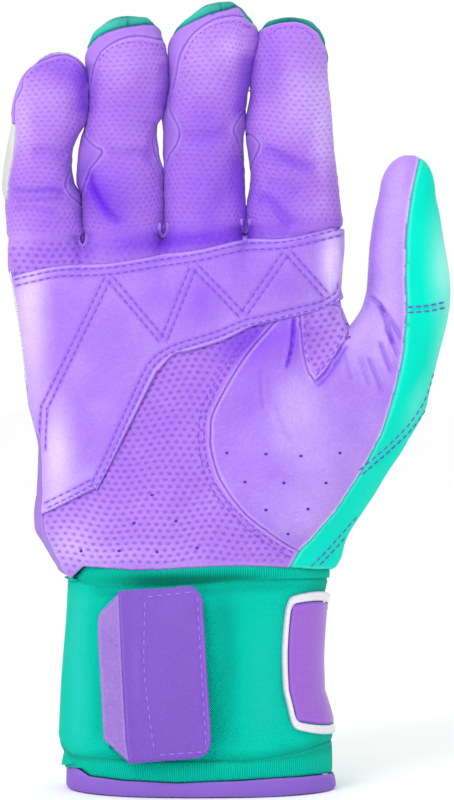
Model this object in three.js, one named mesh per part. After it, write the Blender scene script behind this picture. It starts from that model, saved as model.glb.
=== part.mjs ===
// A batting glove, filled out as on a hand and standing on its cuff.
// Fingers point up +Z, the palm faces -Y and the thumb is at +X
import * as THREE from "three";

// Driving sizes in millimetres
const gloveLength = 245;
const leatherThickness = 1.3;
const knitThickness = 1.4;
const seamGap = 0.4;
const layerGap = 0.3;
const overlayThickness = 0.9;
const overlayGap = 0.55;
const fingerHalfDepth = 10.6;
const thumbHalfDepth = 11.6;
const fingerCurlRadius = 150;
const thumbCurlRadius = 190;
const wristHalfDepth = 24.5;
const thenarHalfDepth = 24.5;
const cuffHalfDepth = 26.5;
const strapThickness = 1.6;
const sleeveThickness = 1.2;
const bindingProud = 1.1;
const bindingThickness = 2.6;
const hemProud = 1.4;
const hemThickness = 3.4;
const pileThickness = 0.6;
const tabThickness = 1.5;
const patchThickness = 1.1;
const patchBorderThickness = 0.8;
const weldSize = 0.001;

// The outline was traced on a grid of pixels, rows counted down from the tips
const outlineTopPixels = 2;
const outlineFootPixels = 788;
const outlineCentrePixels = 227.5;
const pixelSize = gloveLength / (outlineFootPixels - outlineTopPixels);

// Shape exponents and angles
const handExponentShare = 2.35;
const lobeExponentShare = 3.5;
const fingerExponentShare = 2.15;
const capExponentShare = 2.25;
const baseSeamAngle = 24;
const capSteps = 8;
const tipRows = 2;
const fingerTipShare = 0.86;
const thumbTipShare = 0.72;
const middleShare = 0.5;
const frontSteps = 3;
const sideSteps = 2;

const group = new THREE.Group();

const acrossX = (pixels) => (pixels - outlineCentrePixels) * pixelSize;
const heightZ = (pixels) => (outlineFootPixels - pixels) * pixelSize;
const degrees = THREE.MathUtils.degToRad;
const mix = THREE.MathUtils.lerp;
const countTo = (last) => [...Array(last + 1).keys()];

// Materials
const cloth = (color, roughness) =>
  new THREE.MeshStandardMaterial({ color, roughness, metalness: 0 });
const dimpledLeather = cloth(0xa573ee, 0.55);
const smoothLeather = cloth(0xb98ef3, 0.5);
const darkTrim = cloth(0x8961cf, 0.6);
const stretchMint = cloth(0x00d8be, 0.75);
const knitWhite = cloth(0xe6e8e4, 0.9);
const sideKnit = cloth(0xa582d7, 0.8);
const hookPile = cloth(0x3a3f3d, 0.95);
const whiteRubber = cloth(0xf2f2f4, 0.4);

// A smooth value of a table at any place: knots rise, values are joined by cubic pieces
function smoothValue(knots, values, at) {
  const last = knots.length - 1;
  let i = 0;
  while (i < last - 1 && at > knots[i + 1]) i += 1;
  const slope = (k) => {
    const low = Math.max(k - 1, 0);
    const high = Math.min(k + 1, last);
    return (values[high] - values[low]) / (knots[high] - knots[low]);
  };
  const span = knots[i + 1] - knots[i];
  const t = THREE.MathUtils.clamp((at - knots[i]) / span, 0, 1);
  const a = 2 * t ** 3 - 3 * t ** 2 + 1;
  const b = t ** 3 - 2 * t ** 2 + t;
  const c = 3 * t ** 2 - 2 * t ** 3;
  const d = t ** 3 - t ** 2;
  return a * values[i] + b * span * slope(i) + c * values[i + 1] + d * span * slope(i + 1);
}

// The height over the middle of a rounded section, as a share of its half depth
function sectionShare(share, exponent) {
  const inside = Math.max(1 - Math.abs(share) ** exponent, 0);
  return inside ** (1 / exponent);
}

// A skin is one smooth surface. Its named patches become panels of even thickness with seams between them
class Skin {
  constructor() {
    this.points = [];
    this.found = new Map();
    this.faces = [];
  }

  vertex(point) {
    const key = point.toArray().map((v) => Math.round(v / weldSize)).join();
    if (!this.found.has(key)) {
      this.found.set(key, this.points.length);
      this.points.push(point.clone());
    }
    return this.found.get(key);
  }

  quad(name, a, b, c, d) {
    const [i, j, k, l] = [a, b, c, d].map((point) => this.vertex(point));
    [[i, j, k], [i, k, l]].forEach((face) => {
      if (new Set(face).size === face.length) this.faces.push({ name, face });
    });
  }

  // Rows of points become quads. Seen from outside, each next row lies to the right of a row that runs up,
  // or below one that runs to the right
  patch(name, rows) {
    rows.slice(1).forEach((row, i) => {
      row.slice(1).forEach((point, j) => {
        this.quad(name, rows[i][j], rows[i + 1][j], rows[i + 1][j + 1], rows[i][j + 1]);
      });
    });
  }

  normals() {
    const sums = this.points.map(() => new THREE.Vector3());
    this.faces.forEach(({ face }) => {
      const [a, b, c] = face.map((i) => this.points[i]);
      const normal = b.clone().sub(a).cross(c.clone().sub(a));
      face.forEach((i) => sums[i].add(normal));
    });
    return sums.map((sum) => sum.normalize());
  }

  // The closed panel of one patch: outer face, inner face and the rim that joins them
  panel(name, material, thickness, lift = 0, gap = seamGap) {
    const normals = this.normals();
    const faces = this.faces.filter((entry) => entry.name === name).map((entry) => entry.face);
    const edges = new Map();
    faces.forEach(([i, j, k]) => [[i, j, k], [j, k, i], [k, i, j]].forEach(([a, b, c]) => {
      edges.set(a + "," + b, [a, b, c]);
    }));
    const border = [...edges.values()].filter(([a, b]) => !edges.has(b + "," + a));
    const shift = new Map();
    border.forEach(([a, b, c]) => {
      const along = this.points[b].clone().sub(this.points[a]).normalize();
      const inward = this.points[c].clone().sub(this.points[a]);
      inward.addScaledVector(along, -inward.dot(along)).normalize();
      [a, b].forEach((i) => shift.set(i, (shift.get(i) ?? new THREE.Vector3()).add(inward)));
    });
    const positions = [];
    const outerOf = new Map();
    const innerOf = new Map();
    [...new Set(faces.flat())].forEach((i) => {
      const at = this.points[i].clone();
      if (shift.has(i)) {
        const move = shift.get(i);
        at.addScaledVector(move, gap / Math.max(move.lengthSq(), 1));
      }
      outerOf.set(i, positions.length);
      positions.push(at.clone().addScaledVector(normals[i], lift));
      innerOf.set(i, positions.length);
      positions.push(at.addScaledVector(normals[i], lift - thickness));
    });
    const index = [];
    faces.forEach(([i, j, k]) => {
      index.push(outerOf.get(i), outerOf.get(j), outerOf.get(k));
      index.push(innerOf.get(k), innerOf.get(j), innerOf.get(i));
    });
    border.forEach(([a, b]) => {
      index.push(outerOf.get(b), outerOf.get(a), innerOf.get(a));
      index.push(outerOf.get(b), innerOf.get(a), innerOf.get(b));
    });
    const flat = positions.flatMap((point) => point.toArray());
    addMesh(name, flat, index, material);
  }
}

function addMesh(name, flat, index, material) {
  const geometry = new THREE.BufferGeometry();
  geometry.setAttribute("position", new THREE.Float32BufferAttribute(flat, 3));
  geometry.setIndex(index);
  geometry.computeVertexNormals();
  const mesh = new THREE.Mesh(geometry, material);
  mesh.name = name;
  group.add(mesh);
}

// Fingers. Each row of the outline is a pixel row with its left and right edge
const fingers = [
  {
    name: "pinky",
    rootPixels: 239,
    topPixels: 51,
    rowPixels: [110, 130, 150, 165, 185, 205, 239],
    leftPixels: [13, 11, 9, 8, 7, 6, 7],
    rightPixels: [86, 82, 76, 73, 73, 75, 81],
    capPixels: [15, 85],
    seamAngles: [22, 22, 24, 40, 34, 26, 24],
    tipSeamAngle: 24,
    tipBackAngle: -4,
  },
  {
    name: "ring",
    rootPixels: 236,
    topPixels: 16,
    rowPixels: [78, 100, 125, 152, 170, 200, 236],
    leftPixels: [89, 89, 85, 79, 79, 83, 84],
    rightPixels: [167, 165, 163, 160, 160, 162, 161],
    capPixels: [91, 167],
    seamAngles: [24, 24, 34, 60, 40, 26, 24],
    tipSeamAngle: 34,
    tipBackAngle: 10,
  },
  {
    name: "middle",
    rootPixels: 230,
    topPixels: 2,
    rowPixels: [70, 95, 129, 150, 170, 195, 230],
    leftPixels: [171, 170, 169, 165, 164, 165, 164],
    rightPixels: [251, 248, 245, 243, 243, 244, 243],
    capPixels: [174, 255],
    seamAngles: [24, 26, 44, 36, 28, 24, 24],
    tipSeamAngle: 34,
    tipBackAngle: 10,
  },
  {
    name: "index",
    rootPixels: 229,
    topPixels: 15,
    rowPixels: [80, 100, 120, 143, 165, 195, 229],
    leftPixels: [255, 252, 250, 248, 248, 248, 247],
    rightPixels: [331, 332, 333, 336, 338, 341, 343],
    capPixels: [257, 329],
    seamAngles: [22, 24, 34, 46, 32, 24, 24],
    tipSeamAngle: 28,
    tipBackAngle: 0,
  },
];

const thumb = {
  name: "thumb",
  rootPixels: 325,
  topPixels: 154,
  rowPixels: [196, 215, 247, 270, 290, 308, 325],
  leftPixels: [378, 373, 368, 367, 366, 361, 350],
  rightPixels: [436, 441, 446, 450, 452, 451, 448],
  capPixels: [384, 434],
  seamAngles: [24, 24, 24, 24, 24, 24, 24],
  tipSeamAngle: 24,
  tipBackAngle: 24,
  ridgePixels: [412, 409, 407, 406, 407, 407, 406],
};

// The section angles of a stall's columns, from the front ridge round the side to the back ridge
function columnAngles(frontSeam, backSeam) {
  const front = countTo(frontSteps).map((k) => mix(-90, -frontSeam, k / frontSteps));
  const side = countTo(sideSteps).slice(1).map((k) => mix(-frontSeam, backSeam, k / sideSteps));
  const back = countTo(frontSteps).slice(1).map((k) => mix(backSeam, 90, k / frontSteps));
  return [...front, ...side, ...back].map(degrees);
}

// A stall leans forward along an arc; height is measured along it from the root
function stallPlace(stall, across, height, depth) {
  const lean = height / stall.curlRadius;
  const forward = stall.curlRadius * (1 - Math.cos(lean)) + depth * Math.cos(lean);
  const up = stall.curlRadius * Math.sin(lean) - depth * Math.sin(lean);
  return new THREE.Vector3(across, -forward, heightZ(stall.rootPixels) + up);
}

function stallHeight(stall, rowPixels) {
  const rise = heightZ(rowPixels) - heightZ(stall.rootPixels);
  return stall.curlRadius * Math.asin(rise / stall.curlRadius);
}

// One row of a stall's columns, from the ridge point over the edge point to the back
function stallRow(stall, ridge, edge, halfDepth, angles) {
  return angles.map((angle) => {
    const out = Math.abs(Math.cos(angle)) ** (2 / fingerExponentShare);
    const up = Math.abs(Math.sin(angle)) ** (2 / fingerExponentShare);
    const across = mix(ridge[0], edge[0], out);
    const height = mix(ridge[1], edge[1], out);
    return stallPlace(stall, across, height, -Math.sign(angle) * up * halfDepth);
  });
}

// All rows of a stall: up the left side, over the cap, down the right side
function stallRows(stall) {
  const { rowPixels, leftPixels, rightPixels } = stall;
  const rows = { left: [], cap: [], right: [] };
  const capRow = rowPixels[0];
  const top = stallHeight(stall, stall.topPixels);
  const capBase = stallHeight(stall, capRow);
  const capMiddle = mix(acrossX(leftPixels[0]), acrossX(rightPixels[0]), middleShare);
  const topMiddle = mix(acrossX(stall.capPixels[0]), acrossX(stall.capPixels[1]), middleShare);
  const ridgeOf = (i) => (stall.ridgePixels
    ? acrossX(stall.ridgePixels[i])
    : mix(acrossX(leftPixels[i]), acrossX(rightPixels[i]), middleShare));
  const depthOf = (row) => stall.halfDepth * mix(1, stall.tipDepthShare,
    (stall.rootPixels - row) / (stall.rootPixels - capRow));
  [...rowPixels.keys()].reverse().forEach((i) => {
    const height = stallHeight(stall, rowPixels[i]);
    const angles = columnAngles(stall.seamAngles[i], i === rowPixels.length - 1
      ? baseSeamAngle : mix(stall.tipBackAngle, baseSeamAngle, Math.min(i / tipRows, 1)));
    const halfDepth = depthOf(rowPixels[i]);
    const ridge = [ridgeOf(i), height];
    rows.left.push(stallRow(stall, ridge, [acrossX(leftPixels[i]), height], halfDepth, angles));
    rows.right.unshift(stallRow(stall, ridge, [acrossX(rightPixels[i]), height], halfDepth, angles));
  });
  for (let k = 1; k < capSteps; k += 1) {
    const turn = (Math.PI * k) / capSteps;
    const side = -Math.sign(Math.cos(turn)) * Math.abs(Math.cos(turn)) ** (2 / capExponentShare);
    const rise = Math.sin(turn) ** (2 / capExponentShare);
    const halfWidth = side < 0
      ? capMiddle - acrossX(leftPixels[0]) : acrossX(rightPixels[0]) - capMiddle;
    const across = mix(capMiddle, topMiddle, rise) + side * halfWidth;
    const edge = [across, mix(capBase, top, rise)];
    const angles = columnAngles(
      mix(stall.seamAngles[0], stall.tipSeamAngle, rise),
      stall.tipBackAngle,
    );
    rows.cap.push(stallRow(stall, [ridgeOf(0), capBase], edge, depthOf(capRow), angles));
  }
  return rows;
}

const frontColumns = [0, 4];
const sideColumns = [3, 6];
const backColumns = [5, 9];

function makeFinger(stall) {
  stall.curlRadius = fingerCurlRadius;
  stall.halfDepth = fingerHalfDepth;
  stall.tipDepthShare = fingerTipShare;
  const parts = stallRows(stall);
  const rows = [...parts.left, ...parts.cap, ...parts.right];
  const skin = new Skin();
  const cut = ([from, to]) => rows.map((row) => row.slice(from, to));
  skin.patch(stall.name + "_front", cut(frontColumns));
  skin.patch(stall.name + "_gusset", cut(sideColumns));
  skin.patch(stall.name + "_back", cut(backColumns));
  skin.panel(stall.name + "_front", dimpledLeather, leatherThickness);
  skin.panel(stall.name + "_gusset", darkTrim, leatherThickness);
  skin.panel(stall.name + "_back", stretchMint, knitThickness);
}

// The thumb front covers the outline's left half; its back wraps round the right side to the front ridge
function makeThumb(stall) {
  stall.curlRadius = thumbCurlRadius;
  stall.halfDepth = thumbHalfDepth;
  stall.tipDepthShare = thumbTipShare;
  const parts = stallRows(stall);
  const middle = parts.cap.length / 2;
  const ridgeRow = Math.floor(middle);
  const leftRows = [...parts.left, ...parts.cap.slice(0, ridgeRow + 1)];
  const rightRows = [...parts.cap.slice(ridgeRow), ...parts.right];
  const skin = new Skin();
  skin.patch("thumb_front", leftRows.map((row) => row.slice(0, 6)));
  skin.patch("thumb_back", leftRows.map((row) => row.slice(5)));
  skin.patch("thumb_back", rightRows);
  skin.panel("thumb_front", smoothLeather, leatherThickness);
  skin.panel("thumb_back", stretchMint, knitThickness);
}

// The hand. Columns 0 to 35 run across the four finger roots, 35 to 43 across the thumb root
const rootColumns = 9;
const sideColumn = 1;
const thenarColumn = 27;
const wedgeColumn = 31;
const gussetColumn = 34;
const crotchColumn = 35;
const seamColumn = 39;
const outerColumn = 43;
const rowPixels = [250, 264, 283, 305, 325, 340, 361, 383, 412, 445, 475, 506, 531, 552, 567];
const knuckleRow = 3;
const wedgeRow = 4;
const crotchRow = 5;
const wedgeEndRow = 8;
const thenarEndRow = 14;
const leftPixels = [8, 9, 12, 18, 22, 24, 25, 26, 31, 37, 35, 33, 37, 51, 64];
const leatherPixels = [12, 14, 18, 23, 26, 27.5, 29, 30, 34, 42, 43, 43.5, 46, 57, 71];
const palmRightPixels = [343, 341, 340, 343, 350, 352, 356, 360, 362, 360, 356, 350, 345, 341, 331];
const thenarPixels = [252, 258, 264, 268, 271, 258, 243, 231, 215, 211, 221, 240, 265, 297, 289];
const wedgePixels = [280, 287, 293, 297, 300, 302, 307, 315, 308, 303, 300, 300, 303, 297, 289];
const crotchPixels = [343, 341, 340, 343, 350, 346, 331, 315, 308, 303, 300, 300, 303, 297, 289];
const seamPixels = [406, 406, 406, 406, 406, 403, 400, 397, 391, 377, 361, 339, 318, 297, 289];
const outerPixels = [448, 448, 448, 448, 448, 444, 438, 432, 427, 410, 387, 366, 350, 343, 331];
const lobeLeftPixels = [350, 350, 350, 350, 350, 330, 300, 275, 250, 225, 215, 215, 225, 240, 250];
const lobeRidgePixels = [406, 406, 406, 406, 406, 400, 390, 378, 360, 338, 320, 305, 292, 285, 285];
const palmDepthShares = [0.52, 0.58, 0.64, 0.68, 0.7, 0.71, 0.73, 0.76, 0.8, 0.85, 0.89, 0.93, 0.97, 1, 1];
const bulgeShares = [0, 0, 0, 0, 0, 0.12, 0.3, 0.5, 0.72, 0.92, 1, 0.95, 0.8, 0.5, 0.3];
const lobeShares = [1, 1, 1, 1, 1, 1, 1, 1, 1, 1, 1, 1, 0.95, 0.7, 0];
const rootBlendPixels = 58;
const gussetEdgePixels = 4;
const thumbFlatRows = 3;

const rootLeftPixels = fingers[0].leftPixels.at(-1);
const rootRightPixels = fingers.at(-1).rightPixels.at(-1);
const handValue = (values, row) => smoothValue(rowPixels, values, row);

// How much of the four finger roots still shows at a pixel row
function rootShare(row, root) {
  return THREE.MathUtils.clamp(1 - (row - root) / rootBlendPixels, 0, 1) ** 2;
}

function rootDepth(stall, across) {
  const last = stall.rowPixels.length - 1;
  const left = stall.leftPixels[last];
  const right = stall.rightPixels[last];
  const share = (2 * across - left - right) / (right - left);
  return fingerHalfDepth * sectionShare(share, fingerExponentShare);
}

// The half depth of the hand's surface at a traced pixel, on the palm side or the back
function handDepth(across, row, palmSide) {
  const left = handValue(leftPixels, row);
  const right = handValue(palmRightPixels, row);
  const share = (2 * across - left - right) / (right - left);
  const palm = wristHalfDepth * handValue(palmDepthShares, row) * sectionShare(share, handExponentShare);
  const rootPlace = mix(rootLeftPixels, rootRightPixels, (share + 1) / 2);
  const stall = fingers.find((one) => rootPlace <= one.rightPixels.at(-1)) ?? fingers.at(-1);
  const rooted = mix(palm, rootDepth(stall, rootPlace), rootShare(row, stall.rootPixels));
  if (row < thumb.rootPixels) return rooted;
  const ridge = handValue(lobeRidgePixels, row);
  const edge = across < ridge ? handValue(lobeLeftPixels, row) : handValue(outerPixels, row);
  const bulge = palmSide ? handValue(bulgeShares, row) : 0;
  const lobe = mix(thumbHalfDepth, thenarHalfDepth, bulge) * handValue(lobeShares, row)
    * sectionShare((across - ridge) / (edge - ridge), fingerExponentShare);
  return (rooted ** lobeExponentShare + lobe ** lobeExponentShare) ** (1 / lobeExponentShare);
}

// Pixel places of a root's columns, from its left edge over the ridge to its right edge
function rootColumnPixels(left, ridge, right) {
  const angles = columnAngles(baseSeamAngle, baseSeamAngle).slice(0, 5).reverse();
  const outs = angles.map((angle) => Math.abs(Math.cos(angle)) ** (2 / fingerExponentShare));
  return [
    ...outs.map((out) => mix(ridge, left, out)),
    ...outs.slice(0, -1).reverse().map((out) => mix(ridge, right, out)),
  ];
}

const fingerRootPixels = fingers.flatMap((stall) => {
  const left = stall.leftPixels.at(-1);
  const right = stall.rightPixels.at(-1);
  return rootColumnPixels(left, mix(left, right, middleShare), right);
});

const thumbRootPixels = rootColumnPixels(
  thumb.leftPixels.at(-1),
  thumb.ridgePixels.at(-1),
  thumb.rightPixels.at(-1),
);

// Columns spread evenly between the knots that seams follow
function spread(knots) {
  const places = [];
  knots.slice(1).forEach(([column, place], i) => {
    const [fromColumn, from] = knots[i];
    for (let k = fromColumn; k < column; k += 1) {
      places.push(mix(from, place, (k - fromColumn) / (column - fromColumn)));
    }
  });
  places.push(knots.at(-1)[1]);
  return places;
}

function palmColumns(i) {
  const right = crotchPixels[i];
  const knots = [[0, leftPixels[i]], [sideColumn, leatherPixels[i]]];
  knots.push([thenarColumn, thenarPixels[i]], [wedgeColumn, wedgePixels[i]]);
  if (i < crotchRow) knots.push([gussetColumn, right - gussetEdgePixels]);
  knots.push([crotchColumn, right]);
  return spread(knots);
}

function thumbColumns(i) {
  const shares = rootColumnPixels(-1, 0, 1);
  const flat = THREE.MathUtils.clamp((i - crotchRow + 1) / thumbFlatRows, 0, 1);
  const halfway = seamColumn - crotchColumn;
  const inner = shares.slice(0, halfway + 1).map((share, k) => mix(share + 1, k / halfway, flat));
  const left = inner.map((share) => mix(crotchPixels[i], seamPixels[i], share));
  const right = shares.slice(halfway + 1).map((share) => mix(seamPixels[i], outerPixels[i], share));
  return [...left, ...right];
}

function handPoint(across, row, palmSide, depth = handDepth(across, row, palmSide)) {
  return new THREE.Vector3(acrossX(across), palmSide ? -depth : depth, heightZ(row));
}

function handRow(i, palmSide) {
  if (i === 0) {
    return fingerRootPixels.map((across, column) => {
      const stall = fingers[Math.floor(column / rootColumns)];
      return handPoint(across, stall.rootPixels, palmSide, rootDepth(stall, across));
    });
  }
  const row = rowPixels[i - 1];
  const columns = palmColumns(i - 1);
  if (i < crotchRow) {
    const turn = (row - fingers.at(-1).rootPixels) / (thumb.rootPixels - fingers.at(-1).rootPixels);
    const first = fingerRootPixels[0];
    const last = fingerRootPixels.at(-1);
    columns.forEach((across, column) => {
      const share = (fingerRootPixels[column] - first) / (last - first);
      const rooted = mix(columns[0], columns.at(-1), share);
      columns[column] = mix(rooted, across, turn);
    });
  }
  if (i >= crotchRow) columns.push(...thumbColumns(i - 1).slice(1));
  return columns.map((across) => handPoint(across, row, palmSide));
}

function makeHand() {
  const rows = [...rowPixels.keys(), rowPixels.length];
  const front = rows.map((i) => handRow(i, true));
  const back = rows.map((i) => handRow(i, false));
  const skin = new Skin();
  const face = (name, side, fromRow, toRow, fromColumn, toColumn) => {
    const cut = side.slice(fromRow, toRow + 1).map((row) => row.slice(fromColumn, toColumn + 1));
    skin.patch(name, side === back ? cut.map((row) => row.reverse()) : cut);
  };
  const last = rowPixels.length;
  face("palm_panel", front, 0, wedgeRow, sideColumn, gussetColumn);
  face("palm_panel", front, wedgeRow, crotchRow, sideColumn, wedgeColumn);
  face("palm_panel", front, crotchRow, last, sideColumn, thenarColumn);
  face("web_wedge_panel", front, wedgeRow, crotchRow, wedgeColumn, gussetColumn);
  face("web_wedge_panel", front, crotchRow, wedgeEndRow, wedgeColumn, crotchColumn);
  face("thenar_panel", front, crotchRow, thenarEndRow, thenarColumn, wedgeColumn);
  face("thenar_panel", front, wedgeEndRow, thenarEndRow, wedgeColumn, crotchColumn);
  face("thenar_panel", front, crotchRow, thenarEndRow, crotchColumn, seamColumn);
  face("index_side_gusset", front, 0, crotchRow, gussetColumn, crotchColumn);
  face("index_side_gusset", back, 0, crotchRow, gussetColumn, crotchColumn);
  face("ulnar_side_panel", front, 0, last, 0, sideColumn);
  face("ulnar_side_panel", back, 0, last, 0, sideColumn);
  face("thumb_outer_panel", front, crotchRow, last, seamColumn, outerColumn);
  face("thumb_outer_panel", back, crotchRow, last, seamColumn, outerColumn);
  face("knuckle_flex_panel", back, 0, knuckleRow, sideColumn, gussetColumn);
  face("back_hand_panel", back, knuckleRow, crotchRow, sideColumn, gussetColumn);
  face("back_hand_panel", back, crotchRow, last, sideColumn, seamColumn);
  skin.panel("palm_panel", dimpledLeather, leatherThickness);
  skin.panel("web_wedge_panel", dimpledLeather, leatherThickness);
  skin.panel("thenar_panel", smoothLeather, leatherThickness);
  skin.panel("index_side_gusset", darkTrim, leatherThickness, 0, seamGap + seamGap);
  skin.panel("ulnar_side_panel", sideKnit, knitThickness);
  skin.panel("thumb_outer_panel", stretchMint, knitThickness);
  skin.panel("knuckle_flex_panel", darkTrim, knitThickness);
  skin.panel("back_hand_panel", knitWhite, knitThickness);
}

// The smooth overlay lies on the palm panel between two traced borders
const overlayTopPixels = [
  [18, 280], [62, 271], [109, 268], [159, 261], [200, 255], [245, 246], [287, 242], [338, 232],
];
const overlayFootPixels = [
  [46, 511], [76, 497], [101, 482], [152, 382], [176, 357], [227, 341], [288, 317], [338, 298],
];
const overlayColumns = 26;
const overlayRows = 9;

function tracedCurve(places) {
  return new THREE.CatmullRomCurve3(places.map(([across, row]) => new THREE.Vector3(across, row)));
}

function makeOverlay() {
  const top = tracedCurve(overlayTopPixels);
  const foot = tracedCurve(overlayFootPixels);
  const skin = new Skin();
  skin.patch("palm_overlay", countTo(overlayRows).map((i) => countTo(overlayColumns).map((j) => {
    const from = top.getPoint(j / overlayColumns);
    const place = from.lerp(foot.getPoint(j / overlayColumns), i / overlayRows);
    return handPoint(place.x, place.y, true);
  })));
  skin.panel("palm_overlay", smoothLeather, overlayThickness, overlayGap + overlayThickness);
}

// The cuff is a tube round the wrist
const cuffRowPixels = [567, 590, 650, 700, 750, 788];
const cuffLeftPixels = [64, 67, 65, 61, 60, 62];
const cuffRightPixels = [331, 327, 326, 331, 334, 335];
const cuffDepthShares = [0, 0.1, 0.4, 0.7, 1, 1];
const cuffColumns = 36;

function cuffPoint(turn, row, offset) {
  const left = acrossX(smoothValue(cuffRowPixels, cuffLeftPixels, row));
  const right = acrossX(smoothValue(cuffRowPixels, cuffRightPixels, row));
  const widened = smoothValue(cuffRowPixels, cuffDepthShares, row);
  const halfDepth = mix(wristHalfDepth, cuffHalfDepth, widened);
  const power = 2 / handExponentShare;
  const out = Math.sign(Math.cos(turn)) * Math.abs(Math.cos(turn)) ** power;
  const up = Math.sign(Math.sin(turn)) * Math.abs(Math.sin(turn)) ** power;
  return new THREE.Vector3(
    mix(left, right, middleShare) + out * ((right - left) / 2 + offset),
    up * (halfDepth + offset),
    heightZ(row),
  );
}

// The turn round the cuff, on the palm side, of a traced pixel
function cuffTurn(across, row) {
  const left = smoothValue(cuffRowPixels, cuffLeftPixels, row);
  const right = smoothValue(cuffRowPixels, cuffRightPixels, row);
  const share = THREE.MathUtils.clamp((2 * across - left - right) / (right - left), -1, 1);
  return -Math.acos(Math.sign(share) * Math.abs(share) ** (handExponentShare / 2));
}

// A ring band from a closed profile of pixel rows and offsets from the cuff's surface
function makeBand(name, material, profile) {
  const positions = [];
  const index = [];
  const count = profile.length;
  for (let k = 0; k < cuffColumns; k += 1) {
    const turn = (2 * Math.PI * k) / cuffColumns;
    profile.forEach(([row, offset]) => positions.push(...cuffPoint(turn, row, offset).toArray()));
    const next = (k + 1) % cuffColumns;
    profile.forEach((_, i) => {
      const j = (i + 1) % count;
      const [a, b, c, d] = [k * count + i, k * count + j, next * count + j, next * count + i];
      index.push(a, b, c, a, c, d);
    });
  }
  addMesh(name, positions, index, material);
}

const halfSeamPixels = seamGap / 2 / pixelSize;
const hemFootPixels = outlineFootPixels;
const topBindingRowPixels = [567, 570, 577, 584, 587];
const strapRowPixels = [587, 620, 665, 710, 758];
const footBindingRowPixels = [758, 761, 768, 775, 778];
const hemRowPixels = [778, 780, 783.5, 787, 788];
const sleeveRowPixels = [574, 640, 710, 784];
const bindingRoundShares = [0.1, 0.75, 1, 0.75, 0.1];
const hemRoundShares = [0.1, 0.7, 1, 0.75, 0.3];

function ringProfile(rows, outer, inner) {
  const ends = rows.map((row, i) => {
    if (i === 0) return row + halfSeamPixels;
    return i === rows.length - 1 && row !== hemFootPixels ? row - halfSeamPixels : row;
  });
  const outside = ends.map((row, i) => [row, outer[i]]);
  const inside = [...ends].reverse().map((row) => [row, inner]);
  return [...outside, ...inside];
}

function makeCuff() {
  const round = (shares, proud) => shares.map((share) => share * proud);
  makeBand("cuff_top_binding", stretchMint, ringProfile(
    topBindingRowPixels, round(bindingRoundShares, bindingProud), bindingProud - bindingThickness,
  ));
  makeBand("strap_band", stretchMint, ringProfile(
    strapRowPixels, strapRowPixels.map(() => 0), -strapThickness,
  ));
  makeBand("cuff_bottom_binding", stretchMint, ringProfile(
    footBindingRowPixels, round(bindingRoundShares, bindingProud), bindingProud - bindingThickness,
  ));
  makeBand("cuff_hem", darkTrim, ringProfile(
    hemRowPixels, round(hemRoundShares, hemProud), hemProud - hemThickness,
  ));
  const sleeveOffset = Math.min(-strapThickness, bindingProud - bindingThickness, hemProud - hemThickness)
    - layerGap;
  makeBand("cuff_sleeve", stretchMint, ringProfile(
    sleeveRowPixels, sleeveRowPixels.map(() => sleeveOffset), sleeveOffset - sleeveThickness,
  ));
}

// Flat goods on the strap, each between two traced borders, lifted off the band by the layers below it
function makeCuffPatch(name, material, top, foot, columns, rows, thickness, lift) {
  const upper = tracedCurve(top);
  const lower = tracedCurve(foot);
  const skin = new Skin();
  skin.patch(name, countTo(rows).map((i) => countTo(columns).map((j) => {
    const from = upper.getPoint(j / columns);
    const place = from.lerp(lower.getPoint(j / columns), i / rows);
    return cuffPoint(cuffTurn(place.x, place.y), place.y, 0);
  })));
  skin.panel(name, material, thickness, lift);
}

const tabTopPixels = [[122, 591], [146, 589], [170, 588], [193, 586], [203, 598]];
const tabFootPixels = [[131, 765], [153, 763], [179, 761], [205, 757], [212, 746]];
const lipTopPixels = [[98, 616], [109, 603], [121, 591]];
const lipFootPixels = [[104, 741], [117, 753], [130, 765]];
const bandEndTopPixels = [[130, 597], [165, 595], [198, 601]];
const bandEndFootPixels = [[138, 758], [170, 756], [205, 746]];
const hookTopPixels = [[118, 612], [155, 609], [192, 609]];
const hookFootPixels = [[122, 744], [160, 744], [198, 741]];
const loopTopPixels = [[106, 606], [152, 603], [198, 604]];
const loopFootPixels = [[110, 750], [158, 750], [204, 747]];

const loopLift = layerGap + pileThickness;
const hookLift = loopLift + layerGap + pileThickness;
const bandEndLift = hookLift + layerGap + sleeveThickness;
const tabLift = bandEndLift + layerGap + tabThickness;

function makeStrapEnd() {
  makeCuffPatch("loop_patch", stretchMint, loopTopPixels, loopFootPixels, 6, 3, pileThickness, loopLift);
  makeCuffPatch("hook_patch", hookPile, hookTopPixels, hookFootPixels, 6, 3, pileThickness, hookLift);
  makeCuffPatch("strap_end_band", stretchMint, bandEndTopPixels, bandEndFootPixels, 6, 3,
    sleeveThickness, bandEndLift);
  makeCuffPatch("strap_tab", darkTrim, tabTopPixels, tabFootPixels, 10, 5, tabThickness, tabLift);
  makeCuffPatch("tab_pull_lip", darkTrim, lipTopPixels, lipFootPixels, 4, 5, tabThickness, tabLift);
}

// The rubber patch wraps the thumb side of the band; its border frames it
const patchMiddleTurn = degrees(-24);
const patchHalfTurn = degrees(27);
const patchTopClearPixels = 4;
const patchFootClearPixels = 23;
const patchTopPixels = strapRowPixels[0] + patchTopClearPixels;
const patchFootPixels = strapRowPixels.at(-1) - patchFootClearPixels;
const patchMiddlePixels = mix(patchTopPixels, patchFootPixels, middleShare);
const patchHalfPixels = (patchFootPixels - patchTopPixels) / 2;
const patchInnerShare = 0.86;
const patchSteps = 10;
const patchCornerShare = 0.3;

function patchPlace(u, v) {
  const across = u * Math.sqrt(1 - patchCornerShare * v * v / 2);
  const down = v * Math.sqrt(1 - patchCornerShare * u * u / 2);
  const row = patchMiddlePixels + down * patchHalfPixels;
  return cuffPoint(patchMiddleTurn + across * patchHalfTurn, row, 0);
}

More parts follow.
